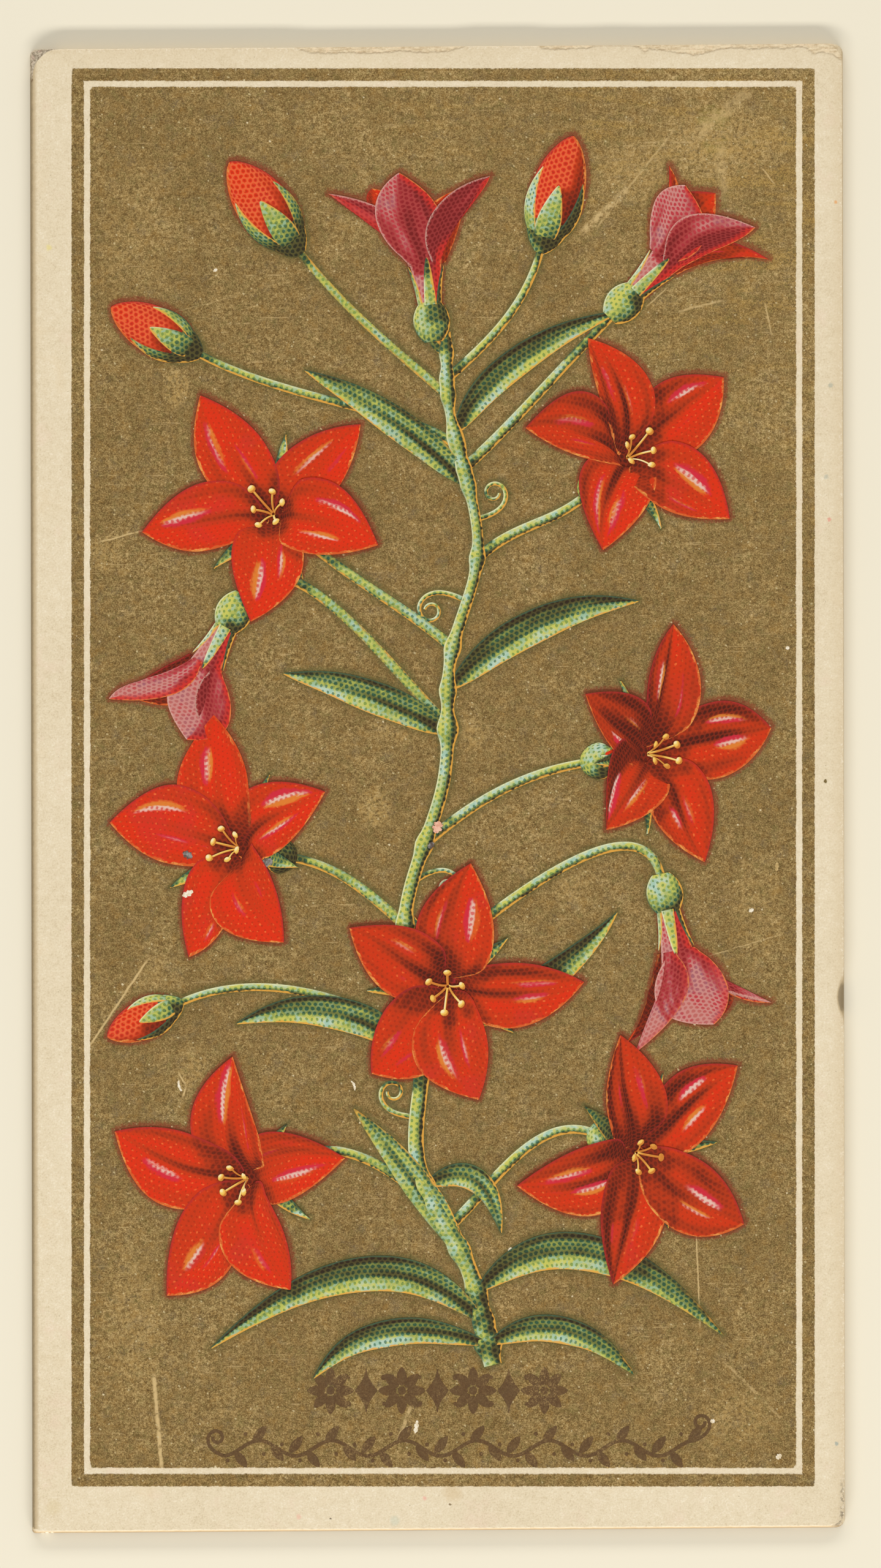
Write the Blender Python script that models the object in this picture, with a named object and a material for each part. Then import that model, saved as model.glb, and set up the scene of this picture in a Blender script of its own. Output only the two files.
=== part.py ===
"""A small printed collector card: one rectangle of stiff pasteboard, lying on its back.

The card was cut slightly out of square. Its corners are worn by different amounts, more at the
printed face than at the back, and a strip of the face ply has flaked away along the top edge
towards the right. The print itself is only colour, so it has no thickness here.

Frame: origin at the centre of the back, +X to the card's right, +Y to its top, +Z out of its face.
"""

import math

import bmesh
import bpy

MM = 0.001

# Driving dimensions of the card
CARD_WIDTH = 38.14 * MM
CARD_HEIGHT = 69.64 * MM
CARD_THICKNESS = 0.60 * MM
# The cut is out of square: how far a side's end and an end's side sit from where they should
SIDE_LEAN = 0.055 * MM
END_TILT = 0.135 * MM

# Corner radii at the back, at mid thickness and at the face: bottom right, top right, top left, bottom left
BACK_RADII = (0.45 * MM, 0.45 * MM, 0.30 * MM, 0.14 * MM)
MIDDLE_RADII = (0.50 * MM, 0.60 * MM, 0.55 * MM, 0.15 * MM)
FACE_RADII = (0.75 * MM, 0.95 * MM, 1.25 * MM, 0.22 * MM)

# Sections up through the thickness: height, how far the edge is rubbed in, corner radii
SECTIONS = (
    (0.00 * MM, 0.045 * MM, BACK_RADII),
    (0.05 * MM, 0.000 * MM, BACK_RADII),
    (0.28 * MM, 0.000 * MM, BACK_RADII),
    (0.46 * MM, 0.010 * MM, MIDDLE_RADII),
    (0.55 * MM, 0.040 * MM, FACE_RADII),
    (CARD_THICKNESS, 0.105 * MM, FACE_RADII),
)
CORNER_STEPS = 8
SIDE_STEPS = 4

# The flaked strip: the face ply is gone here, down to the core
FLAKE_DEPTH = 0.13 * MM
FLAKE_LEFT = 10.4 * MM
FLAKE_OVERRUN = 1.5 * MM
# Its inner edge, as distance in from the top edge at each distance from the card's centre line
FLAKE_EDGE = (
    (10.40 * MM, 0.02 * MM),
    (11.10 * MM, 0.26 * MM),
    (12.05 * MM, 0.48 * MM),
    (13.10 * MM, 0.27 * MM),
    (14.60 * MM, 0.20 * MM),
    (16.20 * MM, 0.24 * MM),
    (17.00 * MM, 0.30 * MM),
    (17.60 * MM, 0.52 * MM),
    (18.20 * MM, 0.42 * MM),
    (18.75 * MM, 0.66 * MM),
    (19.30 * MM, 0.98 * MM),
)

CARD_COLOUR = (0.79, 0.66, 0.47, 1.0)
CARD_ROUGHNESS = 0.85


def clear_scene():
    """Removes whatever objects the scene opened with."""
    for old in list(bpy.data.objects):
        bpy.data.objects.remove(old, do_unlink=True)


def new_collection(name):
    """A collection in the scene, for the card or for its cutters."""
    made = bpy.data.collections.new(name)
    bpy.context.scene.collection.children.link(made)
    return made


def out_of_square(x, y):
    """The place of a point of a true rectangle on the card as it was really cut."""
    return (
        x - SIDE_LEAN * y / (CARD_HEIGHT / 2),
        y + END_TILT * x / (CARD_WIDTH / 2),
    )


def card_outline(inset, radii):
    """The card's outline, anticlockwise from the bottom right corner, as points on a rounded rectangle."""
    half_width = CARD_WIDTH / 2 - inset
    half_height = CARD_HEIGHT / 2 - inset
    corners = ((1, -1), (1, 1), (-1, 1), (-1, -1))
    points = []
    for turn, (corner, radius) in enumerate(zip(corners, radii)):
        centre_x = corner[0] * (half_width - radius)
        centre_y = corner[1] * (half_height - radius)
        first_angle = math.radians(90 * (turn - 1))
        for step in range(CORNER_STEPS + 1):
            angle = first_angle + math.radians(90) * step / CORNER_STEPS
            points.append((centre_x + radius * math.cos(angle), centre_y + radius * math.sin(angle)))
        following = corners[(turn + 1) % 4]
        next_radius = radii[(turn + 1) % 4]
        next_angle = first_angle + math.radians(90)
        end_x = following[0] * (half_width - next_radius) + next_radius * math.cos(next_angle)
        end_y = following[1] * (half_height - next_radius) + next_radius * math.sin(next_angle)
        start_x, start_y = points[-1]
        for step in range(1, SIDE_STEPS):
            share = step / SIDE_STEPS
            points.append((start_x + (end_x - start_x) * share, start_y + (end_y - start_y) * share))
    return [out_of_square(x, y) for x, y in points]


def make_card(collection, material):
    """The pasteboard as a loft through its sections, closed by the back and the face."""
    mesh = bmesh.new()
    rings = []
    for height, inset, radii in SECTIONS:
        ring = [mesh.verts.new((x, y, height)) for x, y in card_outline(inset, radii)]
        rings.append(ring)
    for lower, upper in zip(rings, rings[1:]):
        for index in range(len(lower)):
            after = (index + 1) % len(lower)
            mesh.faces.new((lower[index], lower[after], upper[after], upper[index]))
    mesh.faces.new(list(reversed(rings[0])))
    mesh.faces.new(rings[-1])
    bmesh.ops.recalc_face_normals(mesh, faces=mesh.faces)
    data = bpy.data.meshes.new("card")
    mesh.to_mesh(data)
    mesh.free()
    data.materials.append(material)
    card = bpy.data.objects.new("card", data)
    collection.objects.link(card)
    return card


def make_flake_cutter(collection):
    """The space of the lost strip of face ply, as a flat outline with thickness."""
    top = CARD_HEIGHT / 2
    inner = [out_of_square(x, top - depth) for x, depth in FLAKE_EDGE]
    right = FLAKE_EDGE[-1][0] + FLAKE_OVERRUN
    outer = [(right, inner[-1][1]), (right, top + FLAKE_OVERRUN), (FLAKE_LEFT, top + FLAKE_OVERRUN)]
    points = inner + outer
    curve = bpy.data.curves.new("flake_outline", "CURVE")
    curve.dimensions = "2D"
    curve.fill_mode = "BOTH"
    curve.extrude = FLAKE_DEPTH
    spline = curve.splines.new("POLY")
    spline.points.add(len(points) - 1)
    for point, (x, y) in zip(spline.points, points):
        point.co = (x, y, 0.0, 1.0)
    spline.use_cyclic_u = True
    outline = bpy.data.objects.new("flake_outline", curve)
    collection.objects.link(outline)
    outline.location = (0.0, 0.0, CARD_THICKNESS)
    bpy.context.view_layer.update()

    graph = bpy.context.evaluated_depsgraph_get()
    data = bpy.data.meshes.new_from_object(outline.evaluated_get(graph))
    welded = bmesh.new()
    welded.from_mesh(data)
    bmesh.ops.remove_doubles(welded, verts=welded.verts, dist=0.001 * MM)
    bmesh.ops.recalc_face_normals(welded, faces=welded.faces)
    welded.to_mesh(data)
    welded.free()
    cutter = bpy.data.objects.new("flake_cutter", data)
    cutter.matrix_world = outline.matrix_world
    collection.objects.link(cutter)
    bpy.data.objects.remove(outline)
    cutter.hide_render = True
    cutter.display_type = "WIRE"
    return cutter


def pasteboard():
    """Aged, uncoated pasteboard."""
    material = bpy.data.materials.new("pasteboard")
    material.use_nodes = True
    shader = material.node_tree.nodes["Principled BSDF"]
    shader.inputs["Base Color"].default_value = CARD_COLOUR
    shader.inputs["Roughness"].default_value = CARD_ROUGHNESS
    shader.inputs["Metallic"].default_value = 0.0
    return material


def main():
    """Builds the card and takes the flaked strip out of its face."""
    clear_scene()
    model = new_collection("printed_card")
    cutters = new_collection("cutters")
    card = make_card(model, pasteboard())
    cutter = make_flake_cutter(cutters)
    cut = card.modifiers.new("flaked_strip", "BOOLEAN")
    cut.operation = "DIFFERENCE"
    cut.solver = "EXACT"
    cut.object = cutter


main()
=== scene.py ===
"""The looks of a small printed collector card: pasteboard, bronze gold ground and a spray of red blossoms.

Lengths in this file are millimetres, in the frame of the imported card: x to its right edge, y to its
top edge, z out of its face. They become metres where a mesh is made.
"""

import math
from collections import namedtuple
from functools import cache, reduce

import bpy
import numpy as np
from bpy.props import FloatProperty, FloatVectorProperty, PointerProperty
from bpy.types import Operator, Panel, PropertyGroup
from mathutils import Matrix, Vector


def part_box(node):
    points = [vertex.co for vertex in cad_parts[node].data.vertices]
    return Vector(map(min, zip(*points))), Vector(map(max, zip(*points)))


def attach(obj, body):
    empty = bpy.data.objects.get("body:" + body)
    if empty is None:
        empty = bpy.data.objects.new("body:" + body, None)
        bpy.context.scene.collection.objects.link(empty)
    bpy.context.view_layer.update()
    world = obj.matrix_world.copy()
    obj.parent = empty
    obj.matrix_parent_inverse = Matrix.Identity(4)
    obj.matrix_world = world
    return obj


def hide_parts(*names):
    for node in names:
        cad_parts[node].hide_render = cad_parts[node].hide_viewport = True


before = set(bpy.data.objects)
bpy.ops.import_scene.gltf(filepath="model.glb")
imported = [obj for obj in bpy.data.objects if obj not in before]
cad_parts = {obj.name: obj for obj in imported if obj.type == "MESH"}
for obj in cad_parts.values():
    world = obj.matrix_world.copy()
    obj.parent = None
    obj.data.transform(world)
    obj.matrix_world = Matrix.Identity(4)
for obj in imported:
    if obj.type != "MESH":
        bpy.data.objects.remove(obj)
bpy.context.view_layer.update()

bl_info = {
    "name": "Printed Collector Card",
    "version": (1, 0, 0),
    "blender": (4, 5, 0),
    "location": "3D View > Sidebar > Card",
    "description": "A small chromolithographed card with a gold ground and a floral spray",
    "category": "Object",
}

MM = 0.001

# The card as the frame holds it
CARD_LOW, CARD_HIGH = (np.array(corner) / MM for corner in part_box("card"))
SIDE_LEAN = 0.055
END_TILT = 0.135
CARD_WIDTH = CARD_HIGH[0] - CARD_LOW[0] - 2 * SIDE_LEAN
CARD_HEIGHT = CARD_HIGH[1] - CARD_LOW[1] - 2 * END_TILT
FACE = CARD_HIGH[2]


def ink(red, green, blue):
    """A colour as a screen shows it, 0 to 255, in the linear values that shaders take."""
    shown = np.array((red, green, blue)) / 255
    low = shown / 12.92
    high = ((shown + 0.055) / 1.055) ** 2.4
    return tuple(np.where(shown <= 0.04045, low, high))


def length_property(name, description, default):
    """A length in millimetres as a property in metres."""
    return FloatProperty(
        name=name, description=description, default=default * MM, unit="LENGTH", precision=6
    )


def colour_property(name, description, default):
    """A colour property."""
    return FloatVectorProperty(
        name=name, description=description, default=default, size=3, subtype="COLOR", min=0.0, max=1.0
    )


class CardSizes(PropertyGroup):
    """Sizes of what is printed on the card."""

    band_left: length_property("Band left", "Left edge of the gold band", -17.15)
    band_right: length_property("Band right", "Right edge of the gold band", 17.68)
    band_bottom: length_property("Band bottom", "Lower edge of the gold band", -32.70)
    band_top: length_property("Band top", "Upper edge of the gold band", 33.76)
    band_width: length_property("Band width", "Width of the gold band", 0.60)
    line_width: length_property("Pale line", "Width of bare stock inside the gold band", 0.27)
    dot_pitch: length_property("Dot pitch", "Distance between the dots of the drawn tones", 0.267)


class CardInks(PropertyGroup):
    """Colours of the stock and of the inks."""

    stock: colour_property("Stock", "Aged pasteboard", ink(231, 214, 181))
    red: colour_property("Red", "Vermilion of the petals", ink(222, 50, 18))
    pink: colour_property("Pink", "Backs of the petals", ink(188, 104, 96))
    green: colour_property("Green", "Dots in the light of the leaves", ink(122, 148, 72))
    teal: colour_property("Teal", "Dots in the shade of the leaves", ink(28, 80, 64))
    brown: colour_property("Brown", "Printer's ornaments", ink(88, 62, 42))


class CardStage(PropertyGroup):
    """The floor, the lamps and the camera."""

    floor: colour_property("Floor", "Pale floor", ink(240, 231, 208))
    lens: FloatProperty(name="Lens", description="Focal length in millimetres", default=120.0, min=1.0)
    key: FloatProperty(name="Key", description="Share of the light from the card's foot", default=0.36)
    fill: FloatProperty(name="Fill", description="Share of the light from the card's head", default=0.19)
    sky: FloatProperty(name="Sky", description="Share of the light from all round", default=0.46)


# Shader maths

# Specular level of the stock and of every ink
SHEEN = 0.12


class Wire:
    """One value, vector or colour of a material, on which ordinary sums add Math nodes."""

    def __init__(self, bench, socket):
        self.bench = bench
        self.socket = socket

    def __add__(self, other):
        return self.bench.maths("ADD", self, other)

    def __sub__(self, other):
        return self.bench.maths("SUBTRACT", self, other)

    def __rsub__(self, other):
        return self.bench.maths("SUBTRACT", other, self)

    def __mul__(self, other):
        return self.bench.maths("MULTIPLY", self, other)

    def __truediv__(self, other):
        return self.bench.maths("DIVIDE", self, other)

    def __rtruediv__(self, other):
        return self.bench.maths("DIVIDE", other, self)

    def __abs__(self):
        return self.bench.maths("ABSOLUTE", self)

    __radd__ = __add__
    __rmul__ = __mul__

    def step(self, low, high, start=0.0, end=1.0):
        """A smooth step from start to end as the value goes from low to high."""
        settings = {"interpolation_type": "SMOOTHSTEP"}
        inputs = {"Value": self, 1: low, 2: high, 3: start, 4: end}
        return self.bench.node("ShaderNodeMapRange", settings, inputs)

    def shifted(self, x, y):
        """A vector moved by a fixed offset."""
        return self.bench.vector_maths("ADD", self, (x, y, 0.0))

    def stretched(self, turn, factors):
        """A vector turned about z by an angle in degrees, then scaled along each axis."""
        inputs = {"Vector": self, "Rotation": (0.0, 0.0, math.radians(turn)), "Scale": factors}
        return self.bench.node("ShaderNodeMapping", {"vector_type": "POINT"}, inputs)

    def parts(self):
        """The three parts of a vector."""
        split = self.bench.node("ShaderNodeSeparateXYZ", {}, {0: self})
        return tuple(Wire(self.bench, socket) for socket in split.socket.node.outputs)

    def noise(self, per_mm, detail, roughness=0.5, distortion=0.0):
        """Noise from 0 to 1 at a place, with so many bumps a millimetre."""
        inputs = {"Scale": per_mm, "Detail": detail, "Roughness": roughness, "Distortion": distortion}
        return self.bench.node("ShaderNodeTexNoise", {}, {"Vector": self, **inputs})

    def specks(self, per_mm, radius, share, ragged):
        """Small ragged specks in a share of the cells of a grid with so many cells a millimetre."""
        offset = (self.noise(9.0, 2.0, 0.6) - 0.5) * ragged
        shaken = self.bench.vector_maths("ADD", self, self.bench.joined(offset, offset * -0.7))
        cells = self.bench.node("ShaderNodeTexVoronoi", {}, {"Vector": shaken, "Scale": per_mm})
        chance = Wire(self.bench, cells.socket.node.outputs["Color"]).parts()[0]
        return cells.step(radius * per_mm, radius * per_mm * 0.5) * chance.step(1 - share, 1 - share + 0.02)


class Bench:
    """A material being made, with the colour laid on so far and short ways of adding to its nodes."""

    def __init__(self, name, colour=None):
        self.material = bpy.data.materials.new(name)
        self.material.use_nodes = True
        self.tree = self.material.node_tree
        self.shader = self.tree.nodes["Principled BSDF"]
        self.colour = colour

    def node(self, kind, settings=None, inputs=None, output=0):
        """Adds a node of that kind, sets it, fills its sockets and returns one of its outputs."""
        made = self.tree.nodes.new(kind)
        for key, value in (settings or {}).items():
            if key == "stops":
                self.set_stops(made.color_ramp, value)
            else:
                setattr(made, key, value)
        for key, value in (inputs or {}).items():
            self.fill(made.inputs[key], value)
        return Wire(self, made.outputs[output])

    def set_stops(self, ramp, stops):
        """Gives a colour ramp its stops, as pairs of place and colour."""
        while len(ramp.elements) < len(stops):
            ramp.elements.new(1.0)
        for element, (place, colour) in zip(ramp.elements, stops):
            element.position = place
            element.color = (*colour, 1.0)

    def fill(self, socket, value):
        """Links a wire to a socket, or sets the socket to a number, a vector or a colour."""
        if isinstance(value, Wire):
            self.tree.links.new(value.socket, socket)
        elif socket.type == "RGBA":
            socket.default_value = (*value[:3], 1.0)
        else:
            socket.default_value = value

    def maths(self, operation, *values):
        """A Math node."""
        return self.node("ShaderNodeMath", {"operation": operation}, dict(enumerate(values)))

    def vector_maths(self, operation, *values):
        """A Vector Math node."""
        return self.node("ShaderNodeVectorMath", {"operation": operation}, dict(enumerate(values)))

    def most(self, values):
        """The largest of some values."""
        return reduce(lambda first, second: self.maths("MAXIMUM", first, second), values)

    def mix(self, under, over, share):
        """A colour between two colours."""
        settings = {"data_type": "RGBA", "clamp_factor": True}
        return self.node("ShaderNodeMix", settings, {0: share, 6: under, 7: over}, output=2)

    def coat(self, colour, share):
        """Lays a colour over what is there so far, by a share."""
        self.colour = self.mix(self.colour, colour, share)

    def attribute(self, name):
        """A number that the mesh carries at each point."""
        return self.node("ShaderNodeAttribute", {"attribute_name": name}, output="Fac")

    def place(self):
        """The point's place on the card in millimetres."""
        here = self.node("ShaderNodeTexCoord", output="Object")
        return self.node("ShaderNodeVectorMath", {"operation": "SCALE"}, {0: here, "Scale": 1 / MM})

    def joined(self, x, y):
        """A vector from its x and its y."""
        return self.node("ShaderNodeCombineXYZ", {}, {0: x, 1: y})

    def strokes(self, across, along, wide, long, detail=2.0, roughness=0.6):
        """Noise drawn out along a sheet, with so many strokes and so many ends of strokes a millimetre."""
        return self.joined(across * wide, along * long).noise(1.0, detail, roughness)

    def finish(self, roughness, bump=None, strength=0.2, distance=0.02, **others):
        """Links the colour, the roughness and the bump to the shader, with any other sockets by name."""
        for name, value in {"Base Color": self.colour, "Roughness": roughness, **others}.items():
            self.fill(self.shader.inputs[name], value)
        self.shader.inputs["Specular IOR Level"].default_value = SHEEN
        if bump is not None:
            inputs = {"Strength": strength, "Distance": distance * MM, "Height": bump}
            self.fill(self.shader.inputs["Normal"], self.node("ShaderNodeBump", {}, inputs))
        return self.material


def dot_lattice(across, along, pitch):
    """Height of a pattern of dots in staggered rows, 1 at each dot's middle.

    It is the sum of three cosine waves whose directions are 60 degrees apart, moved to run from 0 to 1.
    """
    wave = 4 * math.pi / (math.sqrt(3) * pitch)
    half = across * (wave / 2)
    rise = along * (wave * math.sqrt(3) / 2)
    angles = (across * wave, half + rise, half - rise)
    first, second, third = (across.bench.maths("COSINE", angle) for angle in angles)
    return (first + second + third + 1.5) / 4.5


# Materials

# Stray marks on the bare border: middle, radius, how soft they are, strength and colour
STAINS = (
    (18.65, 27.5, 0.07, 0.5, 0.75, ink(232, 164, 96)),
    (18.42, 18.9, 0.09, 0.6, 0.60, ink(168, 172, 154)),
    (18.17, 0.35, 0.08, 0.3, 0.95, ink(112, 92, 44)),
    (18.70, -30.69, 0.09, 0.5, 0.70, ink(150, 164, 156)),
    (17.10, 8.40, 0.06, 0.6, 0.60, ink(226, 140, 124)),
    (18.20, 14.62, 0.09, 0.7, 0.55, ink(172, 176, 160)),
    (18.36, 12.62, 0.07, 0.6, 0.65, ink(230, 140, 122)),
    (-19.0, 33.2, 0.06, 0.4, 0.70, ink(128, 104, 76)),
    (-18.2, 25.35, 0.10, 0.8, 0.55, ink(232, 214, 120)),
    (-0.6, -33.25, 0.09, 0.7, 0.60, ink(238, 166, 150)),
    (0.60, -33.52, 0.05, 0.4, 0.85, ink(120, 96, 60)),
    (-5.0, -34.2, 0.05, 0.3, 0.85, ink(96, 84, 66)),
    (-6.5, -34.1, 0.09, 0.8, 0.45, ink(238, 170, 150)),
    (-2.0, -34.3, 0.16, 0.9, 0.40, ink(196, 204, 184)),
    (0.7, -33.0, 0.30, 1.0, 0.30, ink(206, 172, 118)),
    (-18.0, -33.67, 0.24, 1.0, 0.24, ink(208, 184, 124)),
    (-18.30, -34.93, 0.09, 0.5, 0.95, ink(252, 242, 220)),
    (-18.52, -34.95, 0.07, 0.4, 0.90, ink(252, 242, 220)),
    (-18.62, -35.06, 0.06, 0.4, 0.90, ink(250, 236, 208)),
    (-18.05, -34.90, 0.06, 0.5, 0.80, ink(250, 236, 208)),
    (-15.6, -10.4, 0.25, 1.0, 0.30, ink(206, 176, 122)),
)
# Specks in the stock: seed, how many cells a millimetre, radius, share of the cells, colour and strength
STOCK_SPECKS = (
    (0.0, 0.8, 0.045, 0.40, ink(126, 106, 78), 0.75),
    (3.1, 2.2, 0.030, 0.30, ink(150, 130, 98), 0.60),
    (6.2, 0.5, 0.070, 0.30, ink(222, 150, 128), 0.40),
    (8.7, 0.5, 0.080, 0.25, ink(166, 164, 146), 0.35),
)


def paper_grain(place):
    """Uneven tone of old pasteboard: cloudy stains, a soft mottle and a very fine tooth, about 0."""
    cloud, mottle, tooth = place.noise(0.16, 3.0), place.noise(2.6, 4.0, 0.70), place.noise(12.0, 2.0, 0.75)
    return (cloud - 0.5) * 0.9 + (mottle - 0.5) * 1.6 + (tooth - 0.5) * 2.5


def stain(bench, place, x, y):
    """Lays the stray marks on, each of them an uneven spot that fades from a share of its radius."""
    x = x + (place.noise(5.0, 3.0, 0.7) - 0.5) * 0.22
    y = y + (place.shifted(2.0, 6.0).noise(5.0, 3.0, 0.7) - 0.5) * 0.22
    for at_x, at_y, radius, soft, strength, colour in STAINS:
        off_x, off_y = x - at_x, y - at_y
        outer, inner = radius * (1 + soft), radius * (1 - soft)
        square = off_x * off_x + off_y * off_y
        bench.coat(colour, square.step(outer * outer, inner * inner, 0.0, strength))


def soil_corner(bench, place, x, y):
    """Lays on a broken line of grime that bends inward beside the lower right corner."""
    drop = y.step(-33.7, -34.7, 0.0, 1.0)
    across = x - 18.96 + drop * drop * 0.28
    broken = place.shifted(6.0, 1.0).noise(7.0, 3.0, 0.75).step(0.46, 0.58)
    dust = abs(across).step(0.13, 0.02) * broken * 0.55
    haze = abs(across - 0.05).step(0.30, 0.0) * (broken * 0.15 + 0.10)
    bench.coat(ink(124, 112, 92), (dust + haze) * (y.step(-31.8, -33.4) * y.step(-34.75, -34.5)))


def stock_material(inks):
    """Aged pasteboard, soiled along its sides, rubbed at its corners, with its core bare where it flaked;
    painted shade darkens its left side, its rubbed bevels, the step of the flake and the foot of its cut
    side, and a painted highlight lines its cut edges.
    """
    bench = Bench("aged_pasteboard", ink(210, 190, 154))
    place = bench.place()
    x, y, height = place.parts()
    grain = paper_grain(place)
    bench.coat(inks.stock, grain.step(-1.0, 0.10))
    bench.coat(ink(246, 233, 206), grain.step(0.0, 1.0))
    bench.coat(ink(232, 208, 168), place.noise(0.33, 4.0, 0.6).step(0.56, 0.76) * 0.40)
    bench.coat(ink(236, 208, 182), place.shifted(9.0, 5.0).noise(0.6, 3.0, 0.6).step(0.56, 0.76) * 0.35)
    bench.coat(ink(219, 198, 161), bench.attribute("blush") * 0.75)
    for seed, per_mm, radius, share, colour, strength in STOCK_SPECKS:
        bench.coat(colour, place.shifted(seed, seed * 2.0).specks(per_mm, radius, share, 0.08) * strength)
    fray, clumps = place.noise(9.0, 3.0, 0.75), place.noise(3.2, 3.0, 0.7)
    rim = bench.attribute("rim")
    bench.coat(ink(250, 238, 214), rim * fray.step(0.54, 0.66) * 0.75)
    bench.coat(ink(192, 166, 130), rim * fray.step(0.42, 0.30) * 0.65)
    core = bench.attribute("flaked")
    fibres = place.stretched(3, (1.6, 13.0, 1.0)).noise(1.0, 3.0, 0.75)
    core_tone = (fibres * 0.5 + clumps * 0.25 + fray * 0.25).step(0.38, 0.60)
    core_colour = bench.mix(ink(202, 177, 138), ink(238, 219, 183), core_tone)
    bench.coat(bench.mix(core_colour, ink(238, 206, 166), clumps.step(0.52, 0.68) * 0.35), core)
    # Painted shade: a darker tan along the step at the lower edge of the flaked strip
    bench.coat(ink(176, 152, 116), bench.attribute("ledge") * clumps.step(0.40, 0.62) * 0.60)
    # The cut side: plies of the stock, painted darker towards its foot as shade where it meets the floor
    wall_with_shade = bench.mix(ink(132, 108, 78), ink(196, 168, 128), height.step(0.10, 0.48))
    wall_with_shade = bench.mix(wall_with_shade, ink(228, 204, 164), height.step(0.44, 0.58))
    plies = place.stretched(0, (0.5, 6.0, 24.0)).noise(1.0, 2.0, 0.6)
    bench.coat(bench.mix(wall_with_shade, ink(238, 212, 174), plies.step(0.52, 0.68) * 0.4), bench.attribute("cut"))
    # A bright line along the cut edges of the face: partly a rough lip of the cut, partly a painted
    # highlight on the rounded edge
    bench.coat(ink(252, 236, 206), bench.attribute("burr") * clumps.step(0.36, 0.56) * 0.9)
    smudge = place.noise(3.4, 4.0, 0.70) - 0.5
    # Grime along the sides, and painted shade: the dark band at the left edge stands in for the unlit,
    # rounded-over left side
    dirt = bench.attribute("dirt") + smudge * 0.30 + (fray - 0.5) * 0.22
    bench.coat(ink(200, 178, 140), dirt.step(0.05, 0.55))
    bench.coat(ink(152, 134, 104), dirt.step(0.50, 0.95))
    # The rubbed corners: worn stock, greyed with painted shade where their bevels slope away
    worn = bench.attribute("worn")
    worn_and_shaded_colour = bench.mix(ink(140, 124, 102), ink(214, 198, 172), fray.step(0.36, 0.60))
    worn_and_shaded_colour = bench.mix(worn_and_shaded_colour, ink(218, 184, 164), clumps.step(0.54, 0.66) * 0.5)
    bench.coat(worn_and_shaded_colour, (worn + smudge * 0.5).step(0.30, 0.70))
    stain(bench, place, x, y)
    soil_corner(bench, place, x, y)
    bump = grain * 0.6 + (fibres + clumps) * core * 1.5 + (fray - 0.5) * (rim + worn) * 1.5
    return bench.finish(0.86, bump, 0.35, 0.03)


# Rubs and scratches in the gold: start, end, half width, strength and how far it breaks up
SCRATCHES = (
    (-16.0, 11.5, -12.0, 12.6, 0.05, 0.94, 0.40),
    (-12.0, 12.6, -9.5, 13.8, 0.04, 0.81, 0.40),
    (-9.5, 13.8, -7.9, 14.9, 0.04, 0.62, 0.48),
    (9.0, 28.2, 6.6, 25.9, 0.22, 0.94, 0.64),
    (11.2, 31.0, 7.4, 26.2, 0.07, 0.56, 0.56),
    (-13.3, -27.3, -12.9, -32.0, 0.13, 1.00, 0.48),
    (12.0, -17.4, 12.3, -25.4, 0.05, 0.88, 0.40),
    (-16.4, -12.2, -13.5, -7.9, 0.07, 1.00, 0.40),
    (-1.2, -28.8, -1.9, -30.7, 0.12, 0.75, 0.56),
    (13.0, -26.4, 16.2, -29.6, 0.10, 0.56, 0.64),
    (-14.4, 21.8, -9.0, 23.2, 0.03, 0.38, 0.48),
    (1.6, 17.6, 7.6, 22.4, 0.03, 0.38, 0.48),
    (11.9, 30.4, 14.8, 32.9, 0.45, 0.42, 0.64),
    (13.2, 30.4, 13.4, 27.4, 0.36, 0.38, 0.60),
    (15.1, 29.2, 15.9, 28.2, 0.05, 0.80, 0.30),
    (9.7, 22.5, 10.9, 23.6, 0.04, 0.75, 0.30),
    (11.0, 22.3, 13.5, 22.9, 0.07, 0.70, 0.50),
    (15.3, 22.9, 15.7, 21.1, 0.05, 0.70, 0.40),
    (13.3, -8.4, 13.5, -10.3, 0.14, 0.65, 0.52),
    (11.1, -8.3, 16.2, -6.8, 0.04, 0.60, 0.46),
    (-12.2, -13.2, -11.7, -14.0, 0.06, 1.00, 0.10),
    (-11.7, -13.8, -12.0, -14.6, 0.06, 1.00, 0.10),
)
SCRATCH_FADE = 0.4
# Worn patches, where the gold's grain shows brighter: middle, half width, half height and strength
PATCHES = (
    (-14.2, 25.6, 2.6, 6.0, 0.22),
    (-12.2, 18.8, 0.8, 1.1, 0.80),
    (-1.8, 3.2, 1.6, 1.3, 0.90),
    (1.5, 2.6, 1.0, 1.0, 0.55),
    (-2.9, -0.9, 1.0, 1.2, 0.75),
    (-15.6, 11.0, 1.0, 1.0, 0.55),
    (13.2, 30.2, 3.6, 2.2, 0.60),
    (9.4, 28.8, 2.2, 2.0, 0.50),
    (-14.2, -25.0, 2.0, 5.0, 0.35),
    (14.0, -29.5, 2.4, 1.8, 0.45),
    (-3.0, 27.0, 3.0, 1.8, 0.25),
    (-11.5, -13.3, 1.0, 1.6, 0.50),
    (15.0, -6.0, 1.6, 3.4, 0.30),
    (6.2, -4.3, 1.2, 1.8, 0.50),
    (-13.4, -9.5, 1.6, 2.6, 0.30),
)
# Fine hairs all over the gold: the turn of each kind in degrees, and its seed
HAIRS = ((12, 0.0), (-74, 4.0), (38, 9.0), (-49, 14.0))
# Colours of the gold's grain, from its hollows to its flecks
GOLD_STOPS = (
    (0.14, ink(100, 76, 40)),
    (0.34, ink(130, 104, 60)),
    (0.50, ink(145, 118, 70)),
    (0.64, ink(162, 134, 82)),
    (0.80, ink(190, 160, 106)),
    (1.00, ink(218, 190, 136)),
)


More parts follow.
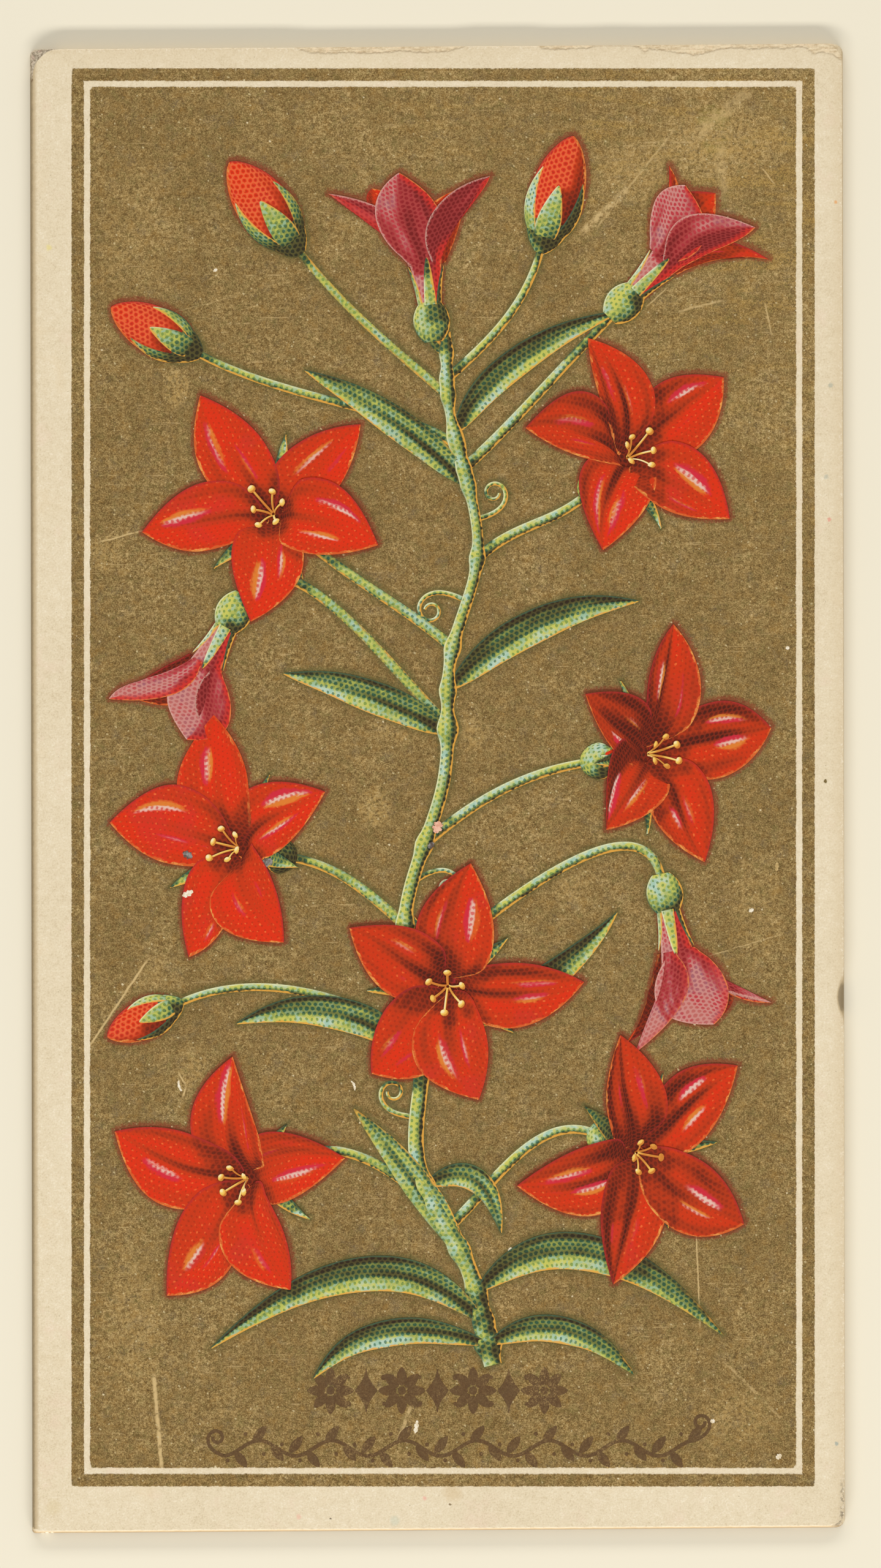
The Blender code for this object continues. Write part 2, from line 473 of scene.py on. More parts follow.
def gold_grain(place, worn):
    """The gold's grain: powder as fine as the paper's tooth, coarser where the gold lies thicker."""
    fine, coarse = place.noise(17.0, 2.0, 0.75) - 0.5, place.noise(5.2, 3.0, 0.75) - 0.5
    cloud = place.noise(0.32, 3.0, 0.55)
    cluster = (cloud * 0.7 + place.noise(1.3, 2.0, 0.6) * 0.4 + worn * 0.35).step(0.44, 0.74)
    flocks = place.noise(2.0, 2.0, 0.6) - 0.5
    grain = fine * 1.65 + coarse * (cluster * 0.8 + 0.60) + flocks * 0.30 + cluster * 0.06 + 0.412
    return grain, cloud, cluster


def lay_gold(bench, place, grain):
    """Lays on the grain's own colours, warmer in some grains and greener or ashen in others."""
    bench.colour = bench.node("ShaderNodeValToRGB", {"stops": GOLD_STOPS}, {"Fac": grain})
    speckle = place.noise(15.0, 1.0, 0.5) * 0.35
    tint = place.noise(1.8, 3.0, 0.65) * 0.65 + speckle
    bench.coat(ink(166, 126, 62), tint.step(0.50, 0.68) * 0.45)
    bench.coat(ink(122, 114, 62), tint.step(0.50, 0.32) * 0.40)
    ash = place.shifted(7.0, 2.0).noise(1.3, 3.0, 0.65) * 0.65 + speckle
    bench.coat(ink(116, 104, 82), ash.step(0.52, 0.70) * 0.45)


def scratch_light(bench, place, x, y):
    """Brightness of the rubs and scratches: a band beside each line, faded at its ends and broken up."""
    rough_edge = (place.noise(2.2, 3.0, 0.7) - 0.5) * 0.12
    gaps = place.noise(3.0, 3.0, 0.7)
    marks = []
    for x0, y0, x1, y1, half, strength, broken in SCRATCHES:
        span = math.hypot(x1 - x0, y1 - y0)
        run_x, run_y = (x1 - x0) / span, (y1 - y0) / span
        along = (x - x0) * run_x + (y - y0) * run_y
        across = abs((x - x0) * -run_y + (y - y0) * run_x + rough_edge)
        ends = along.step(0.0, SCRATCH_FADE) * along.step(span, span - SCRATCH_FADE)
        body = across.step(half, half * 0.3, 0.0, strength)
        marks.append(body * ends * gaps.step(broken * 0.55, broken * 0.55 + 0.25))
    return bench.most(marks)


def patch_light(bench, x, y):
    """Brightness of the worn patches: soft ovals."""
    ovals = []
    for at_x, at_y, wide, high, strength in PATCHES:
        off_x, off_y = (x - at_x) / wide, (y - at_y) / high
        ovals.append((off_x * off_x + off_y * off_y).step(1.0, 0.0, 0.0, strength))
    return bench.most(ovals)


def gold_material(inks):
    """Bronze powder: fine grain, clustered flecks, rubs, scratches, and dust of ink by the motifs."""
    bench = Bench("bronze_gold")
    place = bench.place()
    x, y, _ = place.parts()
    worn = patch_light(bench, x, y)
    grain, cloud, cluster = gold_grain(place, worn)
    calm = bench.attribute("near_motif").step(0.15, 0.80)
    rough = 1.0 - calm * 0.75
    lightened = (y * 0.012 + x * 0.012 + cloud * 0.6).step(0.40, 1.0)
    lay_gold(bench, place, grain + lightened * 0.10 - calm * 0.05)
    smeared = place.stretched(-42, (0.30, 1.5, 1.0)).noise(1.0, 4.0, 0.65)
    smear = smeared.step(0.48, 0.66) * (y * 0.05 + x * 0.05).step(1.1, 2.2)
    bench.coat(ink(182, 144, 70), smear * grain.step(0.2, 0.6) * 0.55)
    off_x, off_y = x - 12.9, y - 31.0
    green = (off_x * off_x + off_y * off_y * 0.4).step(0.9, 0.1) * smeared.step(0.40, 0.56)
    bench.coat(ink(134, 126, 48), green * 0.45)
    squiggle = abs(place.noise(6.5, 2.0, 0.65, 0.9) - 0.5).step(0.045, 0.008) * grain.step(0.36, 0.56)
    spot = place.shifted(3.0, 8.0).noise(6.5, 2.0, 0.7).step(0.62, 0.72)
    fleck = bench.most((squiggle * 0.7, spot)) * (cluster * 0.60 + 0.45) * rough
    bench.coat(ink(200, 172, 116), fleck * 0.85)
    bench.coat(ink(196, 160, 96), place.noise(6.0, 3.0, 0.7).step(0.44, 0.62) * worn * rough * 0.90)
    bench.coat(ink(212, 182, 126), scratch_light(bench, place, x, y))
    gaps = place.noise(1.6, 2.0, 0.6).step(0.48, 0.62)
    for turn, seed in HAIRS:
        hair = place.shifted(seed, seed * 2.0).stretched(turn, (0.22, 13.0, 1.0)).noise(1.0, 1.0, 0.5)
        bench.coat(ink(206, 176, 122), hair.step(0.70, 0.76) * gaps * rough * 0.50)
    bench.coat(ink(120, 106, 62), calm * 0.16)
    stipple = (place.noise(10.0, 2.0, 0.8) - 0.5) * 1.7
    near = bench.attribute("near_green")
    bench.coat(ink(92, 92, 50), (near + stipple).step(0.10, 0.70) * near.step(0.0, 0.20) * 0.50)
    near = bench.attribute("near_red")
    bench.coat(ink(140, 52, 38), (near + stipple).step(0.05, 0.65) * near.step(0.0, 0.20) * 0.62)
    bench.coat(ink(230, 212, 170), place.specks(0.9, 0.060, 0.42, 0.12) * 0.9)
    bench.coat(ink(210, 190, 142), place.shifted(1.7, 4.1).specks(3.0, 0.055, 0.42, 0.14) * 0.80)
    glints = place.shifted(8.3, 3.3).specks(5.0, 0.045, 0.30, 0.10)
    bench.coat(ink(196, 168, 112), glints * (cluster * 0.5 + 0.35))
    bench.coat(ink(66, 50, 32), place.shifted(5.3, 2.9).specks(1.1, 0.035, 0.25, 0.05) * 0.7)
    ragged = bench.attribute("print_edge") + (place.noise(8.0, 3.0, 0.75) - 0.5) * 0.16
    printed = ragged.step(0.005, 0.045)
    bench.colour = bench.mix(inks.stock, bench.colour, printed)
    return bench.finish(0.42 + grain * 0.25, grain + fleck, 0.25, 0.01, Metallic=printed * 0.2)


def brown_material(inks):
    """Thin dark brown ink, through which the gold's grain still shows."""
    bench = Bench("brown_ornament_ink")
    place = bench.place()
    grain, cloud, cluster = gold_grain(place, 0.0)
    lay_gold(bench, place, grain)
    bench.coat(inks.brown, 0.78)
    squiggle = abs(place.noise(4.6, 2.0, 0.65, 0.9) - 0.5).step(0.060, 0.012)
    worn = (cloud * 0.2 + cluster * 0.2 + place.noise(0.8, 3.0, 0.6) * 0.6).step(0.40, 0.62)
    bench.coat(ink(158, 128, 80), squiggle * worn * grain.step(0.36, 0.56) * 0.85)
    return bench.finish(0.55)


def drawn_sheet(bench, pitch):
    """What a motif's ink reads: place, across and along the sheet, grain, nearness of edges and dots.

    The sheet's own coordinates are shaken by noise, so that its dots lie less evenly.
    """
    place = bench.place()
    across, along, _ = bench.node("ShaderNodeUVMap", {"uv_map": "drawn"}).parts()
    across = across + (place.noise(2.4, 2.0, 0.6) - 0.5) * 0.16
    along = along + (place.shifted(4.0, 9.0).noise(2.4, 2.0, 0.6) - 0.5) * 0.16
    grain = place.noise(12.0, 2.0, 0.8) - 0.5
    edge, lower = bench.attribute("edge"), bench.attribute("lower")
    return place, across, along, grain, edge, lower, dot_lattice(across, along, pitch)


def ragged_rim(place, edge, lower, lattice, width):
    """Where a motif's lower side shows a ragged rim of the plate beneath, from 0 to 1."""
    uneven = place.noise(1.5, 2.0, 0.6)
    ragged = edge + (place.noise(4.0, 2.0) - 0.5) * 0.07 + (lattice - 0.4) * 0.04
    reach = width * (0.2 + uneven.step(0.30, 0.66) * 1.2)
    return (ragged - reach).step(0.025, -0.025) * (lower + (uneven - 0.5) * 0.5).step(-0.15, 0.25)


def petal_material(inks, pitch):
    """Vermilion over a honeycomb of darker dots, maroon in the folds, streaks of light and a warm rim."""
    bench = Bench("vermilion_petal", ink(142, 46, 22))
    place, across, along, grain, edge, lower, lattice = drawn_sheet(bench, pitch)
    hue = bench.attribute("hue")
    strokes = bench.strokes(across, along, 4.5, 0.7)
    tone = bench.attribute("tone") + (strokes - 0.5) * 0.36 + grain * 0.16
    bench.coat(ink(178, 56, 22), tone.step(0.02, 0.26))
    bench.coat(ink(202, 56, 20), tone.step(0.24, 0.50))
    bench.coat(inks.red, (tone + grain).step(0.56, 0.94))
    crimson = (place.noise(0.5, 2.0) + hue * 0.12).step(0.56, 0.72)
    bench.coat(ink(200, 50, 44), crimson * tone.step(0.2, 0.6) * 0.35)
    clusters = place.noise(0.9, 2.0).step(0.36, 0.56)
    pale_lattice = dot_lattice(across, along * 0.66, pitch * 1.12)
    size = (place.noise(3.1, 1.0) - 0.5) * 0.40 + grain * 0.45
    pale = (pale_lattice + size).step(0.80, 1.0) * tone.step(0.36, 0.64) * clusters
    bench.coat(ink(238, 112, 54), pale * 0.80)
    shade = tone.step(0.66, 0.06)
    dots = (lattice + grain * 0.60 - (0.80 - shade * 0.50)).step(-0.14, 0.14)
    dot_colour = bench.mix(ink(158, 48, 20), ink(96, 34, 18), tone.step(0.34, 0.0))
    bench.coat(dot_colour, dots * (0.54 + shade * 0.20))
    net = (lattice + grain * 0.5).step(0.40, 0.14) * hue.step(1.2, 1.8)
    bench.coat(ink(236, 112, 62), net * tone.step(0.25, 0.65) * 0.70)
    bench.coat(ink(70, 27, 18), tone.step(0.04, -0.14) * (0.40 + dots * 0.40))
    lay_streaks(bench, place, across, along, grain, lattice, hue)
    ragged = edge + (place.noise(4.0, 2.0) - 0.5) * 0.10
    upper_rim = (ragged + grain * 0.25).step(0.17, 0.0) * lower.step(0.1, -0.5)
    bench.coat(ink(170, 44, 44), upper_rim * 0.70)
    rim_colour = bench.mix(ink(212, 96, 42), ink(236, 168, 84), (strokes + grain * 0.5).step(0.46, 0.70))
    bench.coat(rim_colour, ragged_rim(place, edge, lower, lattice, 0.10) * 0.85)
    return bench.finish(0.62, lattice, 0.10, 0.01)


def lay_streaks(bench, place, across, along, grain, lattice, hue):
    """Lays on a petal's two streaks of light: pale within, orange on one side, crimson on the other."""
    hatch = (bench.strokes(across, along, 6.0, 0.8, 3.0, 0.7) - 0.5) * 3.0
    serration = (lattice - 0.4) * 0.9 + grain * 1.6
    patchy = (place.shifted(7.0, 3.0).noise(0.7, 2.0) - 0.5) * 1.6
    for number, hand in ((1, 1.0), (2, -1.0)):
        line = bench.attribute(f"streak_{number}") + hatch * 0.60
        lit = bench.attribute(f"lit_{number}") + patchy * 0.35
        reach = lit * 2.0 - 0.30
        distance = abs(line) + serration * 0.17
        side = line * hand + hatch * 0.2 + serration * 0.3
        within = (distance - reach).step(0.45, -0.35)
        choice = hue * hand
        warm = within * side.step(0.0, -0.6) * choice.step(-0.7, -0.3)
        bench.coat(ink(222, 132, 50), warm * (lit + hatch * 0.25).step(0.30, 0.70) * 0.85)
        cool = within * side.step(-0.5, 0.1) * choice.step(0.8, 0.4)
        bench.coat(ink(208, 42, 64), cool * (lit + patchy).step(0.20, 0.55) * 0.85)
        light = (distance - reach * 0.30).step(0.35, -0.35) * (lit + hatch * 0.2).step(0.40, 0.85)
        pale = bench.mix(ink(214, 116, 106), ink(230, 198, 180), (lattice + grain).step(0.70, 0.20))
        bench.coat(pale, light * 0.85)


def reverse_material(inks, pitch):
    """The back of a petal: a greyish pink net over crimson and slate cells, maroon shade and a red side."""
    bench = Bench("pink_petal_back", ink(142, 36, 38))
    place, across, along, grain, edge, lower, lattice = drawn_sheet(bench, pitch)
    strokes = bench.strokes(across, along, 3.0, 0.6)
    tone = bench.attribute("tone") + (strokes - 0.5) * 0.55 + grain * 0.16
    bench.coat(ink(186, 60, 66), tone.step(0.16, 0.44))
    slate = place.noise(0.9, 2.0).step(0.44, 0.58) * tone.step(0.30, 0.6)
    bench.coat(ink(152, 108, 116), slate * 0.75)
    bench.coat(inks.pink, tone.step(0.60, 0.95))
    net = (lattice + grain * 0.4).step(0.46, 0.20)
    bench.coat(bench.mix(ink(172, 66, 62), ink(204, 140, 130), tone.step(0.26, 0.66)), net * 0.85)
    bench.coat(ink(112, 30, 28), tone.step(0.16, -0.06) * (0.8 - net * 0.35))
    scalloped = edge + (lattice - 0.4) * 0.10 + (place.noise(3.0, 2.0) - 0.5) * 0.12
    red_side = (scalloped + grain * 0.2).step(0.46, 0.10) * lower.step(-0.1, 0.4)
    red = bench.mix(ink(208, 50, 40), ink(168, 44, 34), (lattice + grain * 0.4).step(0.40, 0.70))
    bench.coat(red, red_side * 0.90)
    bench.coat(ink(230, 186, 168), (edge + grain * 0.3).step(0.10, 0.03) * lower.step(0.3, -0.3) * 0.5)
    bench.coat(ink(224, 130, 66), ragged_rim(place, edge, lower, lattice, 0.04) * 0.8)
    return bench.finish(0.62, lattice, 0.10, 0.01)


def leaf_material(inks, pitch):
    """Yellow green with pale blue cells in the light, teal dots growing into brown shade, and two rims."""
    bench = Bench("stippled_green", ink(88, 82, 44))
    place, across, along, grain, edge, lower, lattice = drawn_sheet(bench, pitch)
    strokes = bench.strokes(across, along, 3.5, 0.6)
    tone = bench.attribute("tone") + (place.noise(0.8, 2.0) - 0.5) * 0.30 + grain * 0.14
    tone = tone + (strokes - 0.5) * 0.30
    hues = place.noise(0.8, 3.0, 0.6)
    bench.coat(ink(124, 134, 68), tone.step(0.0, 0.28))
    bench.coat(ink(158, 168, 84), tone.step(0.26, 0.54))
    pale = bench.mix(ink(204, 198, 96), ink(184, 206, 184), hues.step(0.44, 0.60))
    bench.coat(pale, tone.step(0.50, 0.78))
    bench.coat(ink(226, 220, 166), tone.step(0.90, 1.10))
    mosaic = place.noise(3.4, 1.0, 0.5)
    lightness = tone.step(0.12, 0.50)
    bench.coat(ink(202, 200, 92), mosaic.step(0.52, 0.60) * lightness * 0.60)
    bench.coat(ink(150, 190, 166), mosaic.step(0.46, 0.38) * lightness * 0.60)
    shade = tone.step(0.90, 0.10)
    dot = (lattice + grain * 0.40 - (0.60 - shade * 0.30)).step(-0.10, 0.10)
    dot_colour = bench.mix(inks.green, inks.teal, tone.step(0.62, 0.30))
    bluer = hues.step(0.54, 0.62) * tone.step(0.2, 0.5) * 0.8
    dot_colour = bench.mix(dot_colour, ink(60, 110, 98), bluer)
    bench.coat(bench.mix(dot_colour, ink(38, 44, 32), tone.step(0.26, 0.02)), dot * 0.86)
    bench.coat(ink(52, 36, 24), tone.step(0.12, -0.20) * (0.45 + dot * 0.4))
    ragged = edge + (place.noise(4.0, 2.0) - 0.5) * 0.10
    upper_rim = ragged.step(0.09, 0.02) * lower.step(0.0, -0.5)
    bench.coat(bench.mix(ink(70, 96, 72), ink(226, 226, 180), tone.step(0.40, 0.70)), upper_rim * 0.80)
    bench.coat(ink(228, 166, 68), ragged_rim(place, edge, lower, lattice, 0.065) * 0.90)
    return bench.finish(0.62, lattice, 0.10, 0.01)


def stamen_material():
    """Cream yellow threads and orange heads."""
    bench = Bench("stamen_yellow", ink(206, 128, 50))
    tone = bench.attribute("tone")
    bench.coat(ink(240, 196, 92), tone.step(0.1, 0.6))
    bench.coat(ink(246, 228, 172), tone.step(0.65, 0.95))
    bench.colour = bench.mix(ink(150, 62, 30), bench.colour, bench.attribute("edge").step(0.0, 0.03))
    return bench.finish(0.62)


def chip_material(name, dark, light):
    """A bare or bruised place where a flake of ink has gone."""
    bench = Bench(name, dark)
    bench.coat(light, bench.place().noise(5.0, 3.0, 0.7).step(0.35, 0.65))
    return bench.finish(0.85)

# Sheets of ink

UPPER_LEFT_LIGHT = np.array((-0.50, 0.52, 0.69))
# How much of that light falls on a sheet turned halfway from it
HALFWAY = 0.64
DARKEST, LIGHTEST = -0.1, 1.1
# For each ink: the tone of a sheet turned halfway from the light, how strongly its tone follows the
# light, and the side on which the plate beneath shows as a rim
DRAWING = {
    "petal": (0.72, 0.80, (0.20, -0.98)),
    "reverse": (0.68, 0.95, (0.50, -0.87)),
    "leaf": (0.60, 0.70, (0.71, -0.71)),
}
PLAIN_DRAWING = (0.60, 1.00, (0.71, -0.71))
SHADOW_OFFSET = np.array((0.28, -0.30))


def unit(vectors):
    """Vectors scaled to length one along their last axis."""
    return vectors / np.maximum(np.linalg.norm(vectors, axis=-1, keepdims=True), 1e-9)


class Sheet:
    """A curved sheet of the drawing: a grid of points in millimetres, as if it stood before the card.

    Rows run along its middle line and columns across it. Its shading is worked out here, from its
    normals and a light at the upper left, and then it is pressed flat.
    """

    def __init__(self, points, along, across, ink_name, outward=None):
        self.points = points
        self.along = along
        self.across = across
        self.ink_name = ink_name
        normals = unit(np.cross(np.gradient(points, axis=1), np.gradient(points, axis=0)))
        if outward is not None and np.sum(normals * outward) < 0:
            normals = -normals
        self.faces_viewer = normals[..., 2].mean() > 0
        normals = np.where(normals[..., 2:] < 0, -normals, normals)
        light = normals @ unit(UPPER_LEFT_LIGHT)
        middle, gain, _ = DRAWING.get(ink_name, PLAIN_DRAWING)
        self.tone = np.clip(middle + (light - HALFWAY) * gain, DARKEST, LIGHTEST)
        flat = points[..., :2]
        to_first = np.linalg.norm(flat - flat[:, :1], axis=-1)
        to_last = np.linalg.norm(flat - flat[:, -1:], axis=-1)
        self.edge = np.minimum(to_first, to_last)
        self.outward = unit(flat[:, -1:] - flat[:, :1]) * np.where(to_last < to_first, 1, -1)[..., None]
        self.hue = np.zeros(self.tone.shape)
        self.streak_1, self.streak_2, self.lit_1, self.lit_2 = np.zeros((4, *self.tone.shape))

    @property
    def lower(self):
        """How far each point's nearest side faces the direction in which the rim shows, from -1 to 1."""
        return self.outward @ np.array(DRAWING.get(self.ink_name, PLAIN_DRAWING)[2])

    def beside_line(self, share, window):
        """Distance from a line at a share of the half width, and half a sine wave along it.

        The wave runs between the window's two ends, and is nothing outside it.
        """
        u = np.linspace(0, 1, len(self.points))[:, None]
        half = np.abs(self.across).max(axis=1, keepdims=True)
        through = np.clip((u - window[0]) / (window[1] - window[0]), 0, 1)
        return self.across - share * half, np.sin(math.pi * through)

    def draw_light(self, number, share, window, width, strength):
        """A streak of light beside a line: its distance in widths and its strength."""
        distance, wave = self.beside_line(share, window)
        setattr(self, f"streak_{number}", distance / width)
        setattr(self, f"lit_{number}", strength * wave**0.7 + 0 * self.tone)

    def draw_fold(self, share, window, width, depth):
        """A dark crease along the sheet: its tone falls beside a line by a bell curve across it."""
        distance, wave = self.beside_line(share, window)
        self.tone = self.tone - depth * wave**0.8 * np.exp(-((distance / width) ** 2))

    def shade(self, amount):
        """Darkens the sheet by an amount from 0 to 1 at each point."""
        self.tone = self.tone * (1 - amount) + DARKEST * amount
        self.lit_1 = self.lit_1 * (1 - amount)
        self.lit_2 = self.lit_2 * (1 - amount)


# How far a cast shadow reaches, how soft and how dark it is, and the least rise of what casts it
SHADOW_REACH = 0.6
SHADOW_SOFTNESS = 0.26
SHADOW_DEPTH = 0.70
LEAST_RISE = 0.15


def cast_shadows(sheets):
    """Darkens each sheet where one above it would throw a soft shadow to the lower right."""
    boxes = [(s.points[..., :2].min(axis=(0, 1)), s.points[..., :2].max(axis=(0, 1))) for s in sheets]
    depths = [sheet.points[..., 2].mean() for sheet in sheets]
    for lower, (low, high), depth in zip(sheets, boxes, depths):
        darkest = np.zeros(lower.tone.shape)
        flat = lower.points[..., :2]
        for upper, (other_low, other_high), other_depth in zip(sheets, boxes, depths):
            apart = (other_low > high + SHADOW_REACH).any() or (other_high < low - SHADOW_REACH).any()
            if upper is lower or apart or other_depth < depth + LEAST_RISE:
                continue
            blockers = upper.points[::2, ::2, :2].reshape(-1, 2) + SHADOW_OFFSET
            beside = ((blockers > low - SHADOW_REACH) & (blockers < high + SHADOW_REACH)).all(axis=-1)
            below = ((flat > other_low - 1) & (flat < other_high + 1)).all(axis=-1)
            if not beside.any() or not below.any():
                continue
            gap = flat[below][:, None] - blockers[beside]
            distance = np.sqrt((gap**2).sum(axis=-1).min(axis=-1))
            shadow = SHADOW_DEPTH * np.exp(-((distance / SHADOW_SOFTNESS) ** 2))
            darkest[below] = np.maximum(darkest[below], shadow)
        lower.shade(darkest)


POINT_VALUES = ("tone", "edge", "lower", "hue", "streak_1", "streak_2", "lit_1", "lit_2")
# Height on the card for each millimetre of the drawing's depth, and how far a sheet's foot is sunk
DEPTH_GAIN = 0.007
SUNK = 0.02


def with_feet(rows):
    """Rows of points or of numbers, with each row's last and first added again after its end."""
    return np.concatenate((rows, rows[:, -1:], rows[:, :1]), axis=1)


def pressed(name, sheets, inks, base):
    """Presses sheets flat onto the face and joins them into one object of closed, very thin layers.

    Each sheet becomes a tube whose section has the sheet's own row of points on top and two
    points under its ends, sunk in the card; the first and last sections close it. A point's height
    is base plus the gain times its depth in the drawing, so that what is in front lies on top.
    """
    vertices, faces, slots, flat_places = [], [], [], []
    values = {key: [] for key in POINT_VALUES}
    names = sorted({sheet.ink_name for sheet in sheets})
    count = 0
    for sheet in sheets:
        order = slice(None)
        run = sheet.points[1:, :, :2] - sheet.points[:-1, :, :2]
        rise = sheet.points[:, 1:, :2] - sheet.points[:, :-1, :2]
        turning = run[:, 1:, 0] * rise[1:, :, 1] - run[:, 1:, 1] * rise[1:, :, 0]
        if turning.sum() < 0:
            order = slice(None, None, -1)
        points = sheet.points[:, order]
        rows, columns = points.shape[:2]
        ring = with_feet(points)
        ring[..., 2] = base + DEPTH_GAIN * ring[..., 2]
        ring[:, columns:, 2] = FACE - SUNK
        around = columns + 2
        index = count + np.arange(rows * around).reshape(rows, around)
        after = np.roll(index, -1, axis=1)
        quads = np.stack((index[:-1], index[1:], after[1:], after[:-1]), axis=-1).reshape(-1, 4)
        faces.extend(quads.tolist())
        faces.append(index[0].tolist())
        faces.append(index[-1][::-1].tolist())
        slots.extend([names.index(sheet.ink_name)] * (len(quads) + 2))
        vertices.append(ring.reshape(-1, 3))
        place = np.stack((sheet.across, sheet.along), axis=-1)[:, order]
        flat_places.append(with_feet(place).reshape(-1, 2))
        for key in POINT_VALUES:
            values[key].append(with_feet(getattr(sheet, key)[:, order]).ravel())
        count += rows * around
    values = {key: np.concatenate(parts) for key, parts in values.items()}
    materials = [inks[key] for key in names]
    return mesh_object(
        name, np.concatenate(vertices), faces, materials, values, slots, np.concatenate(flat_places)
    )


def mesh_object(name, vertices, faces, materials, values=None, slots=None, flat_places=None):
    """An object from points in millimetres, with numbers at its points and a flat map in millimetres."""
    mesh = bpy.data.meshes.new(name)
    mesh.from_pydata((vertices * MM).tolist(), [], faces)
    for material in materials:
        mesh.materials.append(material)
    if slots is not None:
        mesh.polygons.foreach_set("material_index", np.array(slots, dtype=np.int32))
    for key, value in (values or {}).items():
        layer = mesh.attributes.new(key, "FLOAT", "POINT")
        layer.data.foreach_set("value", value.astype(np.float32).ravel())
    if flat_places is not None:
        corners = np.empty(len(mesh.loops), dtype=np.int32)
        mesh.loops.foreach_get("vertex_index", corners)
        drawn = mesh.uv_layers.new(name="drawn").uv
        drawn.foreach_set("vector", flat_places[corners].astype(np.float32).ravel())
    mesh.update()
    made = bpy.data.objects.new(name, mesh)
    bpy.context.scene.collection.objects.link(made)
    return made


# Curves and forms of the drawing


def through(points, count):
    """A smooth curve through points: each stretch is a cubic whose end slopes follow its neighbours."""
    points = np.array(points, dtype=float)
    padded = np.concatenate((2 * points[:1] - points[1:2], points, 2 * points[-1:] - points[-2:-1]))
    place = np.linspace(0, len(points) - 1, count)
    stretch = np.minimum(place.astype(int), len(points) - 2)
    t = (place - stretch)[:, None]
    before, start, end, behind = (padded[stretch + k] for k in range(4))
    return 0.5 * (
        2 * start
        + (end - before) * t
        + (2 * before - 5 * start + 4 * end - behind) * t**2
        + (3 * start - before - 3 * end + behind) * t**3
    )


def control_curve(points, count):
    """A smooth curve pulled by control points, which the binomial terms of (1 - t) and t weight."""
    points = np.array(points, dtype=float)
    order = len(points) - 1
    t = np.linspace(0, 1, count)[:, None]
    weights = (math.comb(order, k) * (1 - t) ** (order - k) * t**k for k in range(order + 1))
    return sum(weight * point for weight, point in zip(weights, points))


def lengths(path):
    """Distance along a path at each of its points."""
    steps = np.linalg.norm(np.diff(path, axis=0), axis=1)
    return np.concatenate(((0.0,), np.cumsum(steps)))


def pointed(u, rise, fall):
    """A pointed oval's half width from 0 to 1: u to a power times 1 - u to a power, scaled to reach 1."""
    peak = rise / (rise + fall)
    return (u / peak) ** rise * ((1 - u) / (1 - peak)) ** fall


def direction(degrees):
    """The vector of length one on a heading in degrees."""
    turn = math.radians(degrees)
    return np.array((math.cos(turn), math.sin(turn)))


def at_depth(path, depth):
    """A path drawn on the card, moved to one depth."""
    return np.concatenate((path[:, :2], np.full((len(path), 1), depth)), axis=1)


def flat_section(_, v):
    """The section of a flat sheet."""
    return 0 * v


def carried(
    path, across_axis, normal_axis, half_widths, section, ink_name, columns, roll=0.0, outward=None
):
    """A sheet made by carrying a section along a path.

    At each row the section's points lie at half width times v sideways, v from -1 to 1, and at the
    section's height along the normal, both turned about the path by the roll angle.
    """
    v = np.linspace(-1, 1, columns)[None, :]
    side = half_widths[:, None] * v
    height = section(np.linspace(0, 1, len(path))[:, None], v) * np.ones_like(side)
    turn = np.reshape(np.radians(roll), (-1, 1))
    sideways = side * np.cos(turn) - height * np.sin(turn)
    upward = side * np.sin(turn) + height * np.cos(turn)
    points = path[:, None] + across_axis[:, None] * sideways[..., None]
    points = points + normal_axis[:, None] * upward[..., None]
    along = np.repeat(lengths(path)[:, None], columns, axis=1)
    return Sheet(points, along, side, ink_name, outward)


def frame_along(path):
    """For a path drawn on the card: the direction across it and the direction up from it, at each point."""
    tangent = unit(np.gradient(path, axis=0))
    across = unit(np.cross(tangent, np.array((0.0, 0.0, 1.0))))
    return across, np.cross(across, tangent)


# A swelling where a stalk leaves a stem: how far it bulges, and its half length
SWELLING = (0.14, 0.45)


def stem(path, start, end, depth, swellings=()):
    """A round stem along a path, whose radius eases from start to end and swells at its joints."""
    path = at_depth(path, depth)
    across, normal = frame_along(path)
    run = lengths(path)
    radius = np.linspace(start, end, len(path))
    bulge, spread = SWELLING
    for place in swellings:
        radius = radius + bulge * np.exp(-(((run - place) / spread) ** 2))

    def round_section(_, v):
        return radius[:, None] * np.sqrt(1 - (0.97 * v) ** 2)

    made = carried(path, across, normal, radius, round_section, "leaf", columns=9)
    outward = 1 - made.edge / made.edge.max(axis=1, keepdims=True)
    made.shade(0.85 * np.clip(made.lower * 1.5, 0, 1) * np.clip(outward * 1.2, 0, 1) ** 0.7)
    return made


def curl(start, heading, length, bend, tightening, rows=60):
    """A tendril's line, whose heading in degrees is heading + bend t + tightening t squared."""
    t = np.linspace(0, 1, rows)
    angle = np.radians(heading + bend * t + tightening * t**2)
    stride = length / (rows - 1)
    steps = np.stack((np.cos(angle), np.sin(angle)), axis=-1)[1:] * stride
    return np.concatenate(((start,), np.array(start) + np.cumsum(steps, axis=0)))


LEAF_FOLD = 0.55
LEAF_WAVE = 0.05


